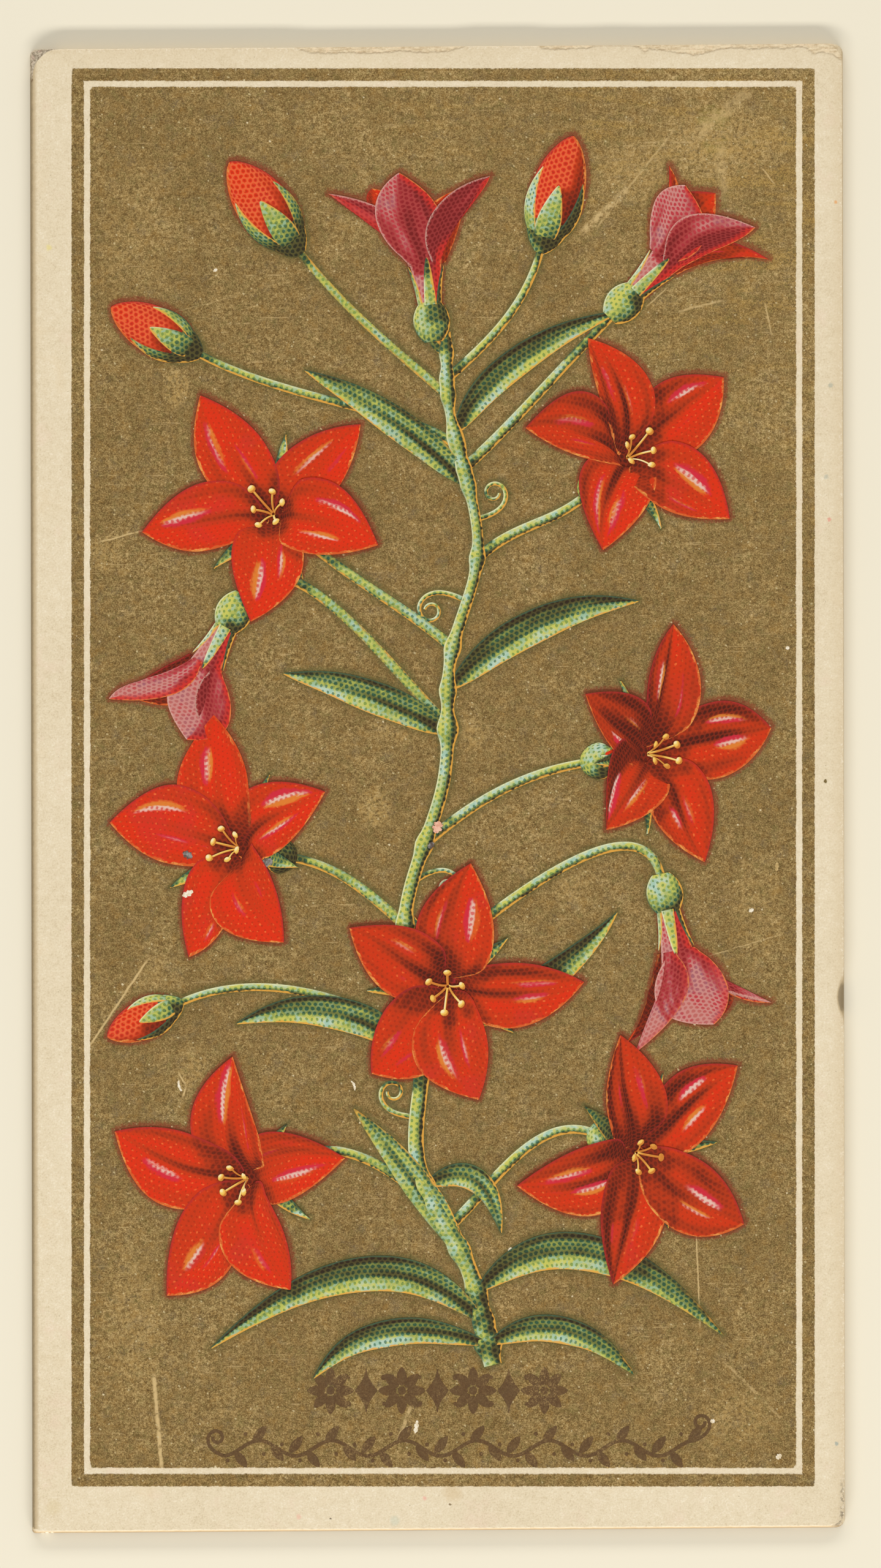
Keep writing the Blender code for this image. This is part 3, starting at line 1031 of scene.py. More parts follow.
def leaf(base, knee, tip, width, depth, arch, roll):
    """A lance-shaped leaf: two halves folded up from a curved midrib and rolled about it."""
    rows = 44
    u = np.linspace(0, 1, rows)
    lift = depth + arch * np.sin(math.pi * u)
    path = np.concatenate((control_curve((base, knee, tip), rows), lift[:, None]), axis=1)
    across, normal = frame_along(path)
    half = width / 2 * np.maximum(pointed(u, 0.75, 0.95), 0) + 0.03
    half[0] += 0.08

    def section(u, v):
        return half[:, None] * (LEAF_FOLD * np.abs(v) ** 1.2) + LEAF_WAVE * np.sin(u * 15) * v**2

    made = carried(path, across, normal, half, section, "leaf", columns=17, roll=roll)
    side = -math.copysign(1, roll)
    made.draw_fold(side * 0.18, (-0.4, 1.05), 0.13 * width, 0.62)
    made.draw_fold(-side * 0.80, (0.15, 1.1), 0.12 * width, 0.40)
    made.shade(0.55 * np.exp(-((u * lengths(path)[-1] / 1.1) ** 2))[:, None])
    return made


Blossom = namedtuple("Blossom", "x y depth facing tilt turn reach width opening joint")


def tilted_axes(facing, tilt):
    """A flower's own axes: two across it, and one out of its mouth, which leans from the viewer."""
    facing, tilt = math.radians(facing), math.radians(tilt)
    out = np.array((math.sin(tilt) * math.cos(facing), math.sin(tilt) * math.sin(facing), math.cos(tilt)))
    first = unit(np.cross(np.array((0.0, 1.0, 0.0)), out))
    return np.stack((first, np.cross(out, first), out))


def flower_sheet(
    axes, centre, bearing, start, angles, reach, half_widths, section, ink_names,
    bow=0.0, roll=0.0, columns=13,
):
    """A petal, sepal or stamen of a flower.

    Its middle line leaves the flower's axis at a bearing, starts at a radius and a height, and
    leans from the axis by the given angle at each point. A section is carried along it. Its ink is
    the first of the names where it faces the viewer, and the last where it shows its back.
    """
    rows = len(angles)
    u = np.linspace(0, 1, rows)
    stride = reach / (rows - 1)
    lean = np.radians(angles)
    radius = start[0] + np.concatenate(((0.0,), np.cumsum(np.sin(lean[1:])))) * stride
    height = start[1] + np.concatenate(((0.0,), np.cumsum(np.cos(lean[1:])))) * stride
    ray = np.array((*direction(bearing), 0.0))
    up = np.array((0.0, 0.0, 1.0))
    side = np.cross(up, ray)
    sway = (bow * np.sin(math.pi * u * 0.8))[:, None]
    path = radius[:, None] * ray + height[:, None] * up + sway * side
    normal = -np.cos(lean)[:, None] * ray + np.sin(lean)[:, None] * up
    across = np.repeat(side[None], rows, axis=0)
    path, normal, across = path @ axes + centre, normal @ axes, across @ axes
    for ink_name in ink_names:
        made = carried(path, across, normal, half_widths, section, ink_name, columns, roll, normal[:, None])
        if made.faces_viewer:
            break
    return made


WRAP_COLUMNS = 17
# How far round a body is drawn to each side of its middle, in degrees
BODY_TURN = 88


def wrapped(axes, centre, start, end, radii, ink_name, middle=0, half_angles=BODY_TURN):
    """A strip on a round body about a flower's axis, between two heights on it, about a middle angle.

    The angle is measured from the side of the body that the viewer sees.
    """
    out = axes[2]
    seen = unit(np.array((0.0, 0.0, 1.0)) - out[2] * out)
    side = np.cross(out, seen)
    height = np.linspace(start, end, len(radii))[:, None]
    radii = radii[:, None]
    half_angles = np.reshape(half_angles, (-1, 1))
    v = np.linspace(-1, 1, WRAP_COLUMNS)
    angle = np.radians(middle + half_angles * v)
    points = (
        centre
        + out * height[..., None]
        + side * (radii * np.sin(angle))[..., None]
        + seen * (radii * np.cos(angle))[..., None]
    )
    along = np.repeat(np.abs(height - start), WRAP_COLUMNS, axis=1)
    return Sheet(points, along, radii * np.radians(half_angles) * v, ink_name)


TUBE_LENGTH = 2.6
CUP_LENGTH = 1.5
# Tilts in degrees beyond which a blossom's tube shows, and beyond which it is seen from the side
TUBE_VIEW = 20
SIDE_VIEW = 60
PETAL_LIFT = 1.0
PETAL_ROWS = 40


def flower_tube(axes, centre, ink_name):
    """The tube behind a mouth: a flaring body, a round green cup at its foot and three narrow sepals."""
    u = np.linspace(0, 1, PETAL_ROWS)
    flare = 0.34 if ink_name == "reverse" else 0.50

    def radius(share):
        return 0.48 + flare * share**1.5

    cup = 0.22 + 0.64 * np.sin(math.pi * np.minimum(u * 0.88 + 0.05, 1)) ** 0.65
    made = [
        wrapped(axes, centre, -TUBE_LENGTH, 0.0, radius(u), ink_name),
        wrapped(axes, centre, -TUBE_LENGTH - CUP_LENGTH, -TUBE_LENGTH + 0.4, cup, "leaf"),
    ]
    start = -TUBE_LENGTH - 0.1
    for middle, tip, lift in ((-62, -0.5, 0.07), (62, -0.6, 0.07), (4, -0.2, 0.12)):
        height = start + (tip - start) * u
        around = radius(np.clip((height + TUBE_LENGTH) / TUBE_LENGTH, 0, 1)) + lift + 0.16 * u**3
        narrowing = 30 * np.maximum(1 - u, 0) ** 0.8 + 1.5
        made.append(wrapped(axes, centre, start, tip, around, "leaf", middle, narrowing))
    return made


def petal_of(spec, axes, centre, bearing, rng):
    """A blossom's petal: a pointed oval, channelled and pleated along it, curving out from the mouth."""
    u = np.linspace(0, 1, PETAL_ROWS)
    reach = spec.reach * rng.uniform(0.90, 1.10)
    width = spec.width * rng.uniform(0.86, 1.04)
    last = spec.opening + rng.uniform(-8, 10)
    curl_back = 26 * np.maximum(u - 0.55, 0) * rng.uniform(-1, 1.6)
    from_side = spec.tilt > SIDE_VIEW
    first, at_mouth = (12, 0.60) if from_side else (28, 0.20)
    start = (0.78, -0.45) if from_side else (0.35, 0.0)
    angles = first + (last - first) * np.minimum(u * 2.2, 1) ** 0.8 + curl_back
    blade = width / 2 * pointed(u, 0.80, 1.0)
    half = np.maximum(blade, at_mouth * (1 - u) ** 1.3) * 0.4 + blade * 0.6
    half = half + at_mouth * 0.6 * (1 - u) ** 3 + 0.02
    phase = rng.uniform(0, 6.28)
    waves = rng.uniform(6.0, 9.0)
    pleat_depth = 0.045 if from_side else 0.10

    def petal_section(u, v):
        channel = 0.34 * np.abs(v) ** 1.3 * (1.0 if from_side else np.clip(u * 4, 0, 1))
        pleats = pleat_depth * np.cos(v * waves + phase + u * 2.0) * (1 - np.abs(v))
        return half[:, None] * (channel + pleats * np.sin(math.pi * u) ** 0.5)

    petal = flower_sheet(
        axes,
        centre,
        bearing,
        start,
        angles,
        reach,
        half,
        petal_section,
        ("petal", "reverse"),
        bow=rng.uniform(-0.8, 0.8),
        roll=11 * (1 - u) + rng.uniform(-14, 14) * u,
        columns=21,
    )
    petal.hue += rng.uniform(-1, 1)
    side = rng.choice((-1, 1))
    first, second = rng.uniform(0.30, 0.46), rng.uniform(0.20, 0.34)
    first_window = (first, first + rng.uniform(0.34, 0.60))
    second_window = (second, second + rng.uniform(0.34, 0.66))
    petal.draw_light(1, side * rng.uniform(0.20, 0.45), first_window, 0.19, rng.uniform(0.40, 1.1))
    petal.draw_light(2, -side * rng.uniform(0.25, 0.50), second_window, 0.15, rng.uniform(0.20, 0.9))
    petal.draw_fold(-side * rng.uniform(0.0, 0.1), (-0.5, rng.uniform(0.60, 0.85)), 0.27, 0.60)
    petal.draw_fold(side * rng.uniform(0.65, 0.8), (-0.3, rng.uniform(0.5, 0.9)), 0.34, 0.40)
    petal.draw_fold(-side * rng.uniform(0.7, 0.85), (0.1, rng.uniform(0.8, 1.1)), 0.24, 0.34)
    depth = 0.30 if from_side else 0.68
    petal.shade(depth * np.exp(-((u * reach / 1.1) ** 2))[:, None])
    return petal


def open_heart(spec, axes, centre, bearings, rng):
    """What an open blossom shows besides its petals: a dark throat, five sepals and six stamens."""
    u = np.linspace(0, 1, PETAL_ROWS)
    level = np.full(PETAL_ROWS, 90.0)
    half = 0.75 * np.sin(math.pi * np.clip(u, 0.02, 0.98)) ** 0.6
    throat = flower_sheet(axes, centre, 0, (-0.75, -0.12), level, 1.5, half, flat_section, ("petal",))
    throat.shade(np.full(throat.tone.shape, 0.95))
    made = [throat]

    def folded(_, v):
        return 0.12 * np.abs(v)

    narrow = 0.42 * pointed(u, 0.5, 1.0) + 0.02
    lean, reach = 45 + 40 * u, spec.reach * 0.62
    for bearing in bearings:
        between = bearing + 36
        made.append(
            flower_sheet(axes, centre, between, (0.45, -0.9), lean, reach, narrow, folded, ("leaf",))
        )
    long = np.linspace(0, 1, 90)
    thick = 0.06 + 0.14 * np.sqrt(np.clip(1 - ((long - 0.91) / 0.085) ** 2, 0, 1))

    def thread(_, v):
        return thick[:, None] * np.sqrt(np.maximum(1 - (0.95 * v) ** 2, 0))

    for k in range(6):
        length = rng.uniform(1.3, 1.9)
        lean = 12 + 38 * long + rng.uniform(-6, 8)
        bearing = spec.turn + 20 + 60 * k
        stamen = flower_sheet(axes, centre, bearing, (0.12, 0.25), lean, length, thick, thread, ("stamen",))
        stamen.points[..., 2] += PETAL_LIFT * 6
        made.append(stamen)
    return made


def blossom(spec, rng):
    """A star blossom: a tube, five pointed petals and, where its mouth shows, what it holds."""
    centre = np.array((spec.x, spec.y, spec.depth))
    axes = tilted_axes(spec.facing, spec.tilt)
    from_side = spec.tilt > SIDE_VIEW
    bearings = [spec.turn + 72 * k + rng.uniform(-5, 5) for k in range(5)]
    tube_ink = "reverse" if from_side else "petal"
    made = flower_tube(axes, centre, tube_ink) if spec.tilt > TUBE_VIEW else []
    petals = [petal_of(spec, axes, centre, bearing, rng) for bearing in bearings]
    if from_side:
        return made + petals
    for layer, petal in enumerate(petals):
        petal.points[..., 2] += PETAL_LIFT * layer
    return made + petals + open_heart(spec, axes, centre, bearings, rng)


Bud = namedtuple("Bud", "x y depth heading length width joint")


def bud(spec):
    """A pointed bud: a round body, a green cup at its foot and three sepals that wrap it."""
    u = np.linspace(0, 1, 36)
    axes = tilted_axes(spec.heading, 84)
    foot = np.array((spec.x, spec.y, spec.depth))
    length, half = spec.length, spec.width / 2

    def body(share):
        return half * pointed(np.clip(share, 0.001, 0.999), 0.55, 0.72)

    cup = half * 0.78 * np.sin(math.pi * np.minimum(u * 0.66 + 0.04, 1)) ** 0.7
    made = [
        wrapped(axes, foot, 0.0, length, body(u) + 0.02, "petal"),
        wrapped(axes, foot, -0.14 * length, 0.30 * length, cup + 0.05, "leaf"),
    ]
    made[0].draw_fold(0.45, (-0.2, 0.9), 0.25, 0.35)
    made[0].hue += 2.0
    for middle, tip, lift in ((-60, 0.66, 1.08), (60, 0.60, 1.08), (0, 0.54, 1.16)):
        around = body(u * tip + 0.06) * lift + 0.03
        narrowing = 33 * np.maximum(1 - u, 0) ** 0.75 + 1.5
        made.append(wrapped(axes, foot, 0.0, tip * length, around, "leaf", middle, narrowing))
    return made


# The picture

MAIN_STEM = (
    (2.6, -27.0), (1.5, -22.6), (-0.9, -17.6), (-0.7, -12.0), (-1.5, -6.0),
    (0.3, 0.4), (0.6, 6.0), (1.9, 11.4), (0.6, 17.6), (0.4, 21.4),
)
# Blossoms; the joint is the height at which the blossom's stalk leaves the main stem
BLOSSOMS = (
    Blossom(-8.8, -18.2, 4.0, 205, 32, 12, 6.2, 3.6, 84, -19.6),
    Blossom(9.2, -17.0, 4.4, -25, 28, 40, 6.3, 3.7, 86, -20.6),
    Blossom(-9.2, -2.8, 4.8, 170, 34, 25, 6.2, 3.6, 86, -6.4),
    Blossom(0.5, -9.2, 6.4, 255, 14, 5, 6.0, 3.6, 88, -13.0),
    Blossom(9.7, 1.6, 4.6, 8, 42, 8, 6.2, 3.7, 82, -2.6),
    Blossom(-7.6, 12.8, 5.0, 140, 24, 50, 6.0, 3.5, 87, 6.6),
    Blossom(8.8, 15.4, 4.8, 42, 36, 30, 6.2, 3.6, 84, 10.8),
    Blossom(-0.6, 25.0, 4.0, 96, 94, 26, 5.4, 3.3, 44, 20.4),
    Blossom(11.3, -8.0, 3.4, 282, 90, 18, 5.0, 3.2, 46, -9.0),
    Blossom(-11.0, 5.5, 3.2, 242, 94, 54, 4.6, 3.0, 40, 3.0),
    Blossom(10.9, 25.0, 3.0, 46, 92, 0, 4.6, 2.9, 38, 15.0),
)
BUDS = (
    Bud(-6.8, 25.6, 2.0, 128, 4.8, 2.5, 18.4),
    Bud(5.0, 25.8, 2.0, 74, 5.0, 2.5, 19.2),
    Bud(-11.6, 20.6, 2.0, 152, 4.2, 2.2, 16.0),
    Bud(-12.4, -10.2, 2.0, 205, 3.4, 1.8, -12.0),
)
Leaf = namedtuple("Leaf", "joint knee tip width depth arch roll")
LEAVES = (
    Leaf(-25.0, (-2.6, -19.6), (-10.6, -26.2), 1.672, 1.5, 0.9, 16),
    Leaf(-23.6, (6.4, -18.6), (13.4, -25.6), 1.748, 1.6, 0.9, -14),
    Leaf(-26.0, (-3.2, -24.0), (-5.8, -27.6), 1.292, 1.9, 0.6, 20),
    Leaf(-26.0, (6.0, -23.8), (9.2, -27.4), 1.292, 1.9, 0.6, -18),
    Leaf(-21.6, (-0.4, -18.6), (-3.9, -15.0), 1.368, 1.2, 0.6, 12),
    Leaf(-18.6, (2.4, -16.8), (3.0, -20.8), 1.14, 1.2, 0.6, -12),
    Leaf(-12.6, (-4.6, -9.0), (-9.4, -11.0), 1.52, 1.0, 0.8, 12),
    Leaf(-11.0, (4.6, -10.4), (8.4, -5.8), 1.52, 1.0, 0.8, -14),
    Leaf(2.6, (-2.6, 4.8), (-7.2, 5.4), 1.52, 1.0, 0.8, 14),
    Leaf(4.6, (4.2, 8.8), (9.4, 8.8), 1.596, 1.0, 0.8, -14),
    Leaf(14.2, (-1.2, 17.4), (-6.2, 19.6), 1.444, 1.0, 0.8, 12),
    Leaf(16.6, (2.6, 20.6), (8.6, 22.4), 1.368, 0.8, 0.7, -12),
)
# Tendrils: where each leaves the main stem, its heading, length, bend and tightening
TENDRILS = (
    (8.8, 160, 5.2, -70, 520),
    (-4.4, 30, 5.4, 60, -560),
    (-15.4, 170, 4.8, 60, -500),
    (12.6, 20, 4.4, -60, 480),
)
PICTURE_SEED = 1886
STALK_RISE = 2.4


def on_stem(stem_path, height):
    """The point of the main stem at a height."""
    return np.array((np.interp(height, stem_path[:, 1], stem_path[:, 0]), height))


def stalk(joint, end, arrival, stem_path):
    """A stalk's line from the main stem at a height, outward and up, to an end reached on a heading."""
    start = on_stem(stem_path, joint)
    outward = math.copysign(1.0, end[0] - start[0])
    reach = 0.38 * np.linalg.norm(end - start)
    first = start + np.array((outward * 0.85, 0.75)) * min(reach, STALK_RISE)
    last = end - reach * direction(arrival)
    return control_curve((start, first, last, end), 60)


@cache
def compose_picture():
    """All the sheets of the picture, in groups by piece name."""
    rng = np.random.default_rng(PICTURE_SEED)
    stem_path = through(MAIN_STEM, 220)
    joints = [spec.joint for spec in (*BLOSSOMS, *BUDS, *LEAVES)]
    swellings = np.interp(joints, stem_path[:, 1], lengths(stem_path))
    groups = {"main_stem": [stem(stem_path, 0.42, 0.21, 1.5, swellings)], "stalks": []}
    for number, spec in enumerate(BLOSSOMS, 1):
        groups[f"blossom_{number}"] = blossom(spec, rng)
        out = tilted_axes(spec.facing, spec.tilt)[2]
        behind = (TUBE_LENGTH + CUP_LENGTH - 0.2 if spec.tilt > TUBE_VIEW else 0.5) * out[:2]
        line = stalk(spec.joint, np.array((spec.x, spec.y)) - behind, spec.facing, stem_path)
        groups["stalks"].append(stem(line, 0.25, 0.20, 0.45))
    for number, spec in enumerate(BUDS, 1):
        groups[f"bud_{number}"] = bud(spec)
        end = np.array((spec.x, spec.y)) - 0.12 * spec.length * direction(spec.heading)
        line = stalk(spec.joint, end, spec.heading, stem_path)
        groups["stalks"].append(stem(line, 0.22, 0.17, 0.35))
    groups["tendrils"] = [
        stem(curl(on_stem(stem_path, joint), *shape), 0.13, 0.07, 0.25) for joint, *shape in TENDRILS
    ]
    groups["leaves"] = [leaf(on_stem(stem_path, joint), *shape) for joint, *shape in LEAVES]
    cast_shadows([sheet for sheets in groups.values() for sheet in sheets])
    return groups


# The card's own pieces


def out_of_square(points):
    """Points of a true rectangle moved to where the card was really cut."""
    x, y = points[..., 0], points[..., 1]
    moved = points.copy()
    moved[..., 0] = x - SIDE_LEAN * y / (CARD_HEIGHT / 2)
    moved[..., 1] = y + END_TILT * x / (CARD_WIDTH / 2)
    return moved


def rounded_outline(insets, radii):
    """A rounded rectangle inset from the card's edge, anticlockwise from its bottom right corner.

    The insets are those of the bottom, right, top and left sides. Each corner is a quarter circle
    of its own radius, and each side is divided evenly in between.
    """
    bottom, right, top, left = insets
    low = np.array((left - CARD_WIDTH / 2, bottom - CARD_HEIGHT / 2))
    high = np.array((CARD_WIDTH / 2 - right, CARD_HEIGHT / 2 - top))
    signs = np.array(((1, -1), (1, 1), (-1, 1), (-1, -1)), dtype=float)
    radii = np.array(radii)
    centres = np.where(signs > 0, high, low) - signs * radii[:, None]
    pieces = []
    for turn in range(4):
        angle = np.radians(90 * (turn - 1)) + np.radians(90) * np.linspace(0, 1, CORNER_STEPS)
        arc = centres[turn] + radii[turn] * np.stack((np.cos(angle), np.sin(angle)), axis=-1)
        following = (turn + 1) % 4
        end = centres[following] + radii[following] * direction(90 * turn)
        share = np.linspace(0, 1, SIDE_STEPS[turn] + 1)[1:-1, None]
        pieces.extend((arc, arc[-1] + (end - arc[-1]) * share))
    return np.concatenate(pieces)


BACK_RADII = (0.45, 0.45, 0.30, 0.14)
MIDDLE_RADII = (0.50, 0.60, 0.55, 0.15)
RUBBED_RADII = (0.66, 0.80, 0.90, 0.20)
FACE_RADII = (0.80, 0.95, 1.20, 0.22)
# Insets of the face's rim at the bottom, right, top and left: the cut slants at the bottom and the left
RIM_INSETS = np.array((0.165, 0.045, 0.045, 0.190))
# Sections up the card's edge: height, inset all round, share of the rim's insets, and corner radii
SECTIONS = (
    (0.00, 0.045, 0.00, BACK_RADII),
    (0.02, 0.012, 0.00, BACK_RADII),
    (0.05, 0.000, 0.00, BACK_RADII),
    (0.20, 0.000, 0.10, BACK_RADII),
    (0.40, 0.000, 0.35, MIDDLE_RADII),
    (0.52, 0.000, 0.60, RUBBED_RADII),
    (0.575, 0.000, 0.80, FACE_RADII),
    (0.60, 0.000, 1.00, FACE_RADII),
)
# Rings of the face: how far each lies inside the rim
FACE_RINGS = (
    0.04, 0.08, 0.12, 0.16, 0.20, 0.24, 0.28, 0.33, 0.38, 0.43,
    0.48, 0.54, 0.60, 0.70, 0.85, 1.1, 1.5, 3.0, 9.0, 18.0,
)
# Points on the bottom, right, top and left sides, and round each corner
SIDE_STEPS = (240, 420, 420, 420)
CORNER_STEPS = 14
# How far in from the edge the waver and the bite are let in, and how far in the waver fades out
EDGE_ZONE = 1.2
WAVER_FADE = 0.9
FLAKE_DEPTH = 0.045
FLAKE_SLOPE = 0.05
# The lower edge of the flaked strip: distance from the centre line, distance in from the top edge
FLAKE_EDGE = (
    (-6.70, -0.05), (-6.40, 0.12), (-5.94, 0.29), (-5.51, 0.31), (-4.90, 0.34), (-4.10, 0.30),
    (-3.27, 0.34), (-2.27, 0.30), (-1.55, 0.23), (-1.00, 0.30), (-0.49, 0.33), (0.52, 0.29),
    (1.03, 0.15), (1.62, -0.05), (4.74, -0.05), (4.95, 0.18), (5.60, 0.23), (6.20, 0.21),
    (7.06, 0.18), (7.58, 0.06), (9.15, 0.07), (9.44, 0.14), (9.79, 0.37), (10.00, 0.24),
    (10.42, 0.28), (11.22, 0.41), (11.80, 0.46), (12.08, 0.55), (12.66, 0.43), (13.20, 0.28),
    (14.00, 0.20), (14.80, 0.27), (15.80, 0.22), (16.40, 0.27), (16.90, 0.17), (17.30, 0.20),
    (17.68, 0.53), (17.97, 0.43), (18.48, 0.52), (18.90, 0.76), (19.30, 1.00),
)
# A bite rubbed out of the right side: its middle, half length and depth
BITE = (-9.9, 0.75, 0.22)


def stock_rings():
    """Outlines up the card's edge and in over its face, with each one's height and share of the wear."""
    rings, heights, shares = [], [], []
    for height, even, share, radii in SECTIONS:
        rings.append(rounded_outline(RIM_INSETS * share + even, radii))
        heights.append(height)
        shares.append(share)
    for inside in FACE_RINGS:
        radii = [max(radius - inside, 0.02) for radius in FACE_RADII]
        rings.append(rounded_outline(RIM_INSETS + inside, radii))
        heights.append(FACE)
        shares.append(max(1.0 - inside / WAVER_FADE, 0.0))
    return np.stack(rings), np.array(heights)[:, None], np.array(shares)[:, None]


def make_stock(inks):
    """The pasteboard: its edge profile carried round the outline, then rings of the face.

    The rim wavers inwards by a sum of sines and is bitten once at the right. The flaked strip
    lowers the face by the flake's depth over a short slope at its lower edge.
    """
    flat, height, share = stock_rings()
    rows, around = flat.shape[:2]
    height = height * np.ones((1, around))
    half_width, half_height = CARD_WIDTH / 2, CARD_HEIGHT / 2
    x, y = flat[..., 0], flat[..., 1]
    run = np.where(np.abs(x) / half_width > np.abs(y) / half_height, y, x)
    waver = np.abs(wobble(run, 21, 0.014)) + np.abs(wobble(run * 3.7, 22, 0.010))
    at_side = half_width - np.abs(x) < EDGE_ZONE
    at_end = half_height - np.abs(y) < EDGE_ZONE
    toward = np.stack((-np.sign(x) * at_side, -np.sign(y) * at_end), axis=-1)
    flat = flat + toward * (waver * share)[..., None]
    middle, half_length, depth = BITE
    bite = depth * np.exp(-(((y - middle) / half_length) ** 2)) * (x > half_width - EDGE_ZONE)
    flat[..., 0] -= bite * share
    x, y = flat[..., 0], flat[..., 1]
    edge_x, edge_depth = np.array(FLAKE_EDGE).T
    ragged = 0.025 * np.sin(x * 19) * np.sin(x * 7.3 + 1)
    reach = np.interp(x, edge_x, edge_depth, left=-1.0) + ragged
    slope = (reach - (half_height - y)) / FLAKE_SLOPE
    inside = np.clip(slope + 0.5, 0, 1) * (height > FACE - FLAKE_DEPTH - 0.06)
    # Where the painted shade lies along the step of the flaked strip
    ledge = np.exp(-((slope / 0.6) ** 2)) * (reach > 0.1) * (height > 0.4)
    lowered = FACE - FLAKE_DEPTH + ragged * 0.6
    height = np.minimum(height, height * (1 - inside) + lowered * inside)
    points = np.concatenate((out_of_square(flat), height[..., None]), axis=-1)
    index = np.arange(rows * around).reshape(rows, around)
    after = np.roll(index, -1, axis=1)
    quads = np.stack((index[:-1], after[:-1], after[1:], index[1:]), axis=-1).reshape(-1, 4)
    faces = quads.tolist() + [index[0][::-1].tolist(), index[-1].tolist()]
    bottom, right = RIM_INSETS[:2]
    from_left, from_right = half_width + x, half_width - x
    from_bottom, from_top = half_height + y, half_height - y
    upper_right, upper_left, lower_right = (
        np.hypot(half_width * a - x, half_height * b - y) for a, b in ((1, 1), (-1, 1), (1, -1))
    )
    low = height < FACE - 0.015
    # Rubbed corners: wear, and painted shade on their sloping bevels
    rubbed = np.exp(-((upper_left / 1.35) ** 4)) * 1.2 + np.exp(-((lower_right / 1.15) ** 4)) * 0.45
    # Darker toward the left edge: grime, and painted shade for the unlit, rounded-over left side
    left_dirt_and_shade = np.clip(1.05 - from_left / 0.40, 0, 1)
    at_right = 0.55 * np.clip(1 - (from_right - right) / 0.05, 0, 1) * np.clip(0.45 + y / 30, 0.25, 1)
    at_bite = np.clip(bite / depth * 1.6, 0, 1) * np.clip(1.5 - (from_right - bite) / 0.14, 0, 1)
    edge_row = (height > FACE - 0.005) & (share > 0.99)
    values = {
        "dirt": np.maximum(np.maximum(left_dirt_and_shade * (from_bottom > 0.25), at_right), at_bite),
        "worn": (rubbed + np.exp(-(upper_right**4)) * 0.35) * low,
        "blush": np.maximum(np.exp(-from_top / 0.5) * 0.8, np.exp(-((from_right / 0.5) ** 2)) * 0.9),
        "rim": np.exp(-((np.minimum(from_right, from_top) / 0.26) ** 2)) * 0.9,
        "flaked": inside,
        "ledge": ledge,
        # The cut side along the bottom, which the material paints darker towards its foot as shade
        "cut": (from_bottom < bottom + 0.02) * low * 1.0,
        # Bright line at the bottom and top edges of the face: a rough lip of the cut and a painted
        # highlight
        "burr": edge_row * np.maximum((from_bottom < 0.22) * 1.0, (from_top < 0.10) * (inside < 0.5) * 0.9),
    }
    card = mesh_object("card_stock", points.reshape(-1, 3), faces, [stock_material(inks)], values)
    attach(card, "root")
    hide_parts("card")
    return card


# Lengths of the waves that make an edge uneven
WOBBLE_WAVES = (0.7, 1.6, 2.9, 6.5)


def wobble(place, seed, size):
    """A small uneven offset along an edge: a sum of sine waves of unlike lengths."""
    rng = np.random.default_rng(seed)
    total = np.zeros_like(place)
    for length in WOBBLE_WAVES:
        total += np.sin(place * 2 * math.pi / length + rng.uniform(0, 6.28)) * rng.uniform(0.5, 1.0)
    return total * size / 2.5


# Heights of the gold's top and foot, and of what is printed over it or has flaked and been bruised
GOLD_TOP = FACE + 0.008
GOLD_FOOT = FACE - 0.03
PRINT_BASE = GOLD_TOP + 0.003
FLAKED_BASE = GOLD_TOP + 0.004
BRUISED_BASE = GOLD_TOP + 0.064
CORNER_ROUNDING = 0.12
GOLD_WAVER = 0.022
GOLD_COLUMNS, GOLD_ROWS = 222, 424
UPPER_RIGHT = np.array((0.5, 0.87))
# Dust of ink on the gold: for each value, how far it reaches, how much farther toward the upper
# right, and the inks that it surrounds
HALOS = {
    "near_motif": (0.55, 0.0, ("petal", "reverse", "leaf", "stamen")),
    "near_red": (0.22, 0.16, ("petal", "reverse")),
    "near_green": (0.16, 0.14, ("leaf",)),
}


def nearness(x, y, sheets):
    """How near each point of a grid lies to the sheets, for each kind of halo: 1 beside them, 0 beyond.

    Each sheet looks only at the points in a box round it, and finds which of the points of its own
    outline is the nearest to each.
    """
    near = {key: np.zeros_like(x) for key in HALOS}
    furthest = max(reach + lean for reach, lean, _ in HALOS.values())
    for sheet in sheets:
        points = sheet.points[..., :2]
        sides = np.concatenate((points[:, 0], points[::-1, -1]))
        rim = np.concatenate((sides, (sides[1:] + sides[:-1]) / 2, points[0], points[-1]))
        low, high = rim.min(axis=0) - furthest, rim.max(axis=0) + furthest
        inside = np.nonzero((x > low[0]) & (x < high[0]) & (y > low[1]) & (y < high[1]))
        gap = np.stack((x[inside], y[inside]), axis=-1)[:, None] - rim
        squared = (gap**2).sum(axis=-1)
        nearest = squared.argmin(axis=1)
        rows = np.arange(len(nearest))
        shortest = np.sqrt(squared[rows, nearest])
        toward = np.clip(unit(gap[rows, nearest]) @ UPPER_RIGHT, 0, 1)
        for key, (reach, lean, names) in HALOS.items():
            if sheet.ink_name in names:
                value = np.clip(1 - shortest / (reach + lean * toward), 0, 1)
                near[key][inside] = np.maximum(near[key][inside], value)
    return near


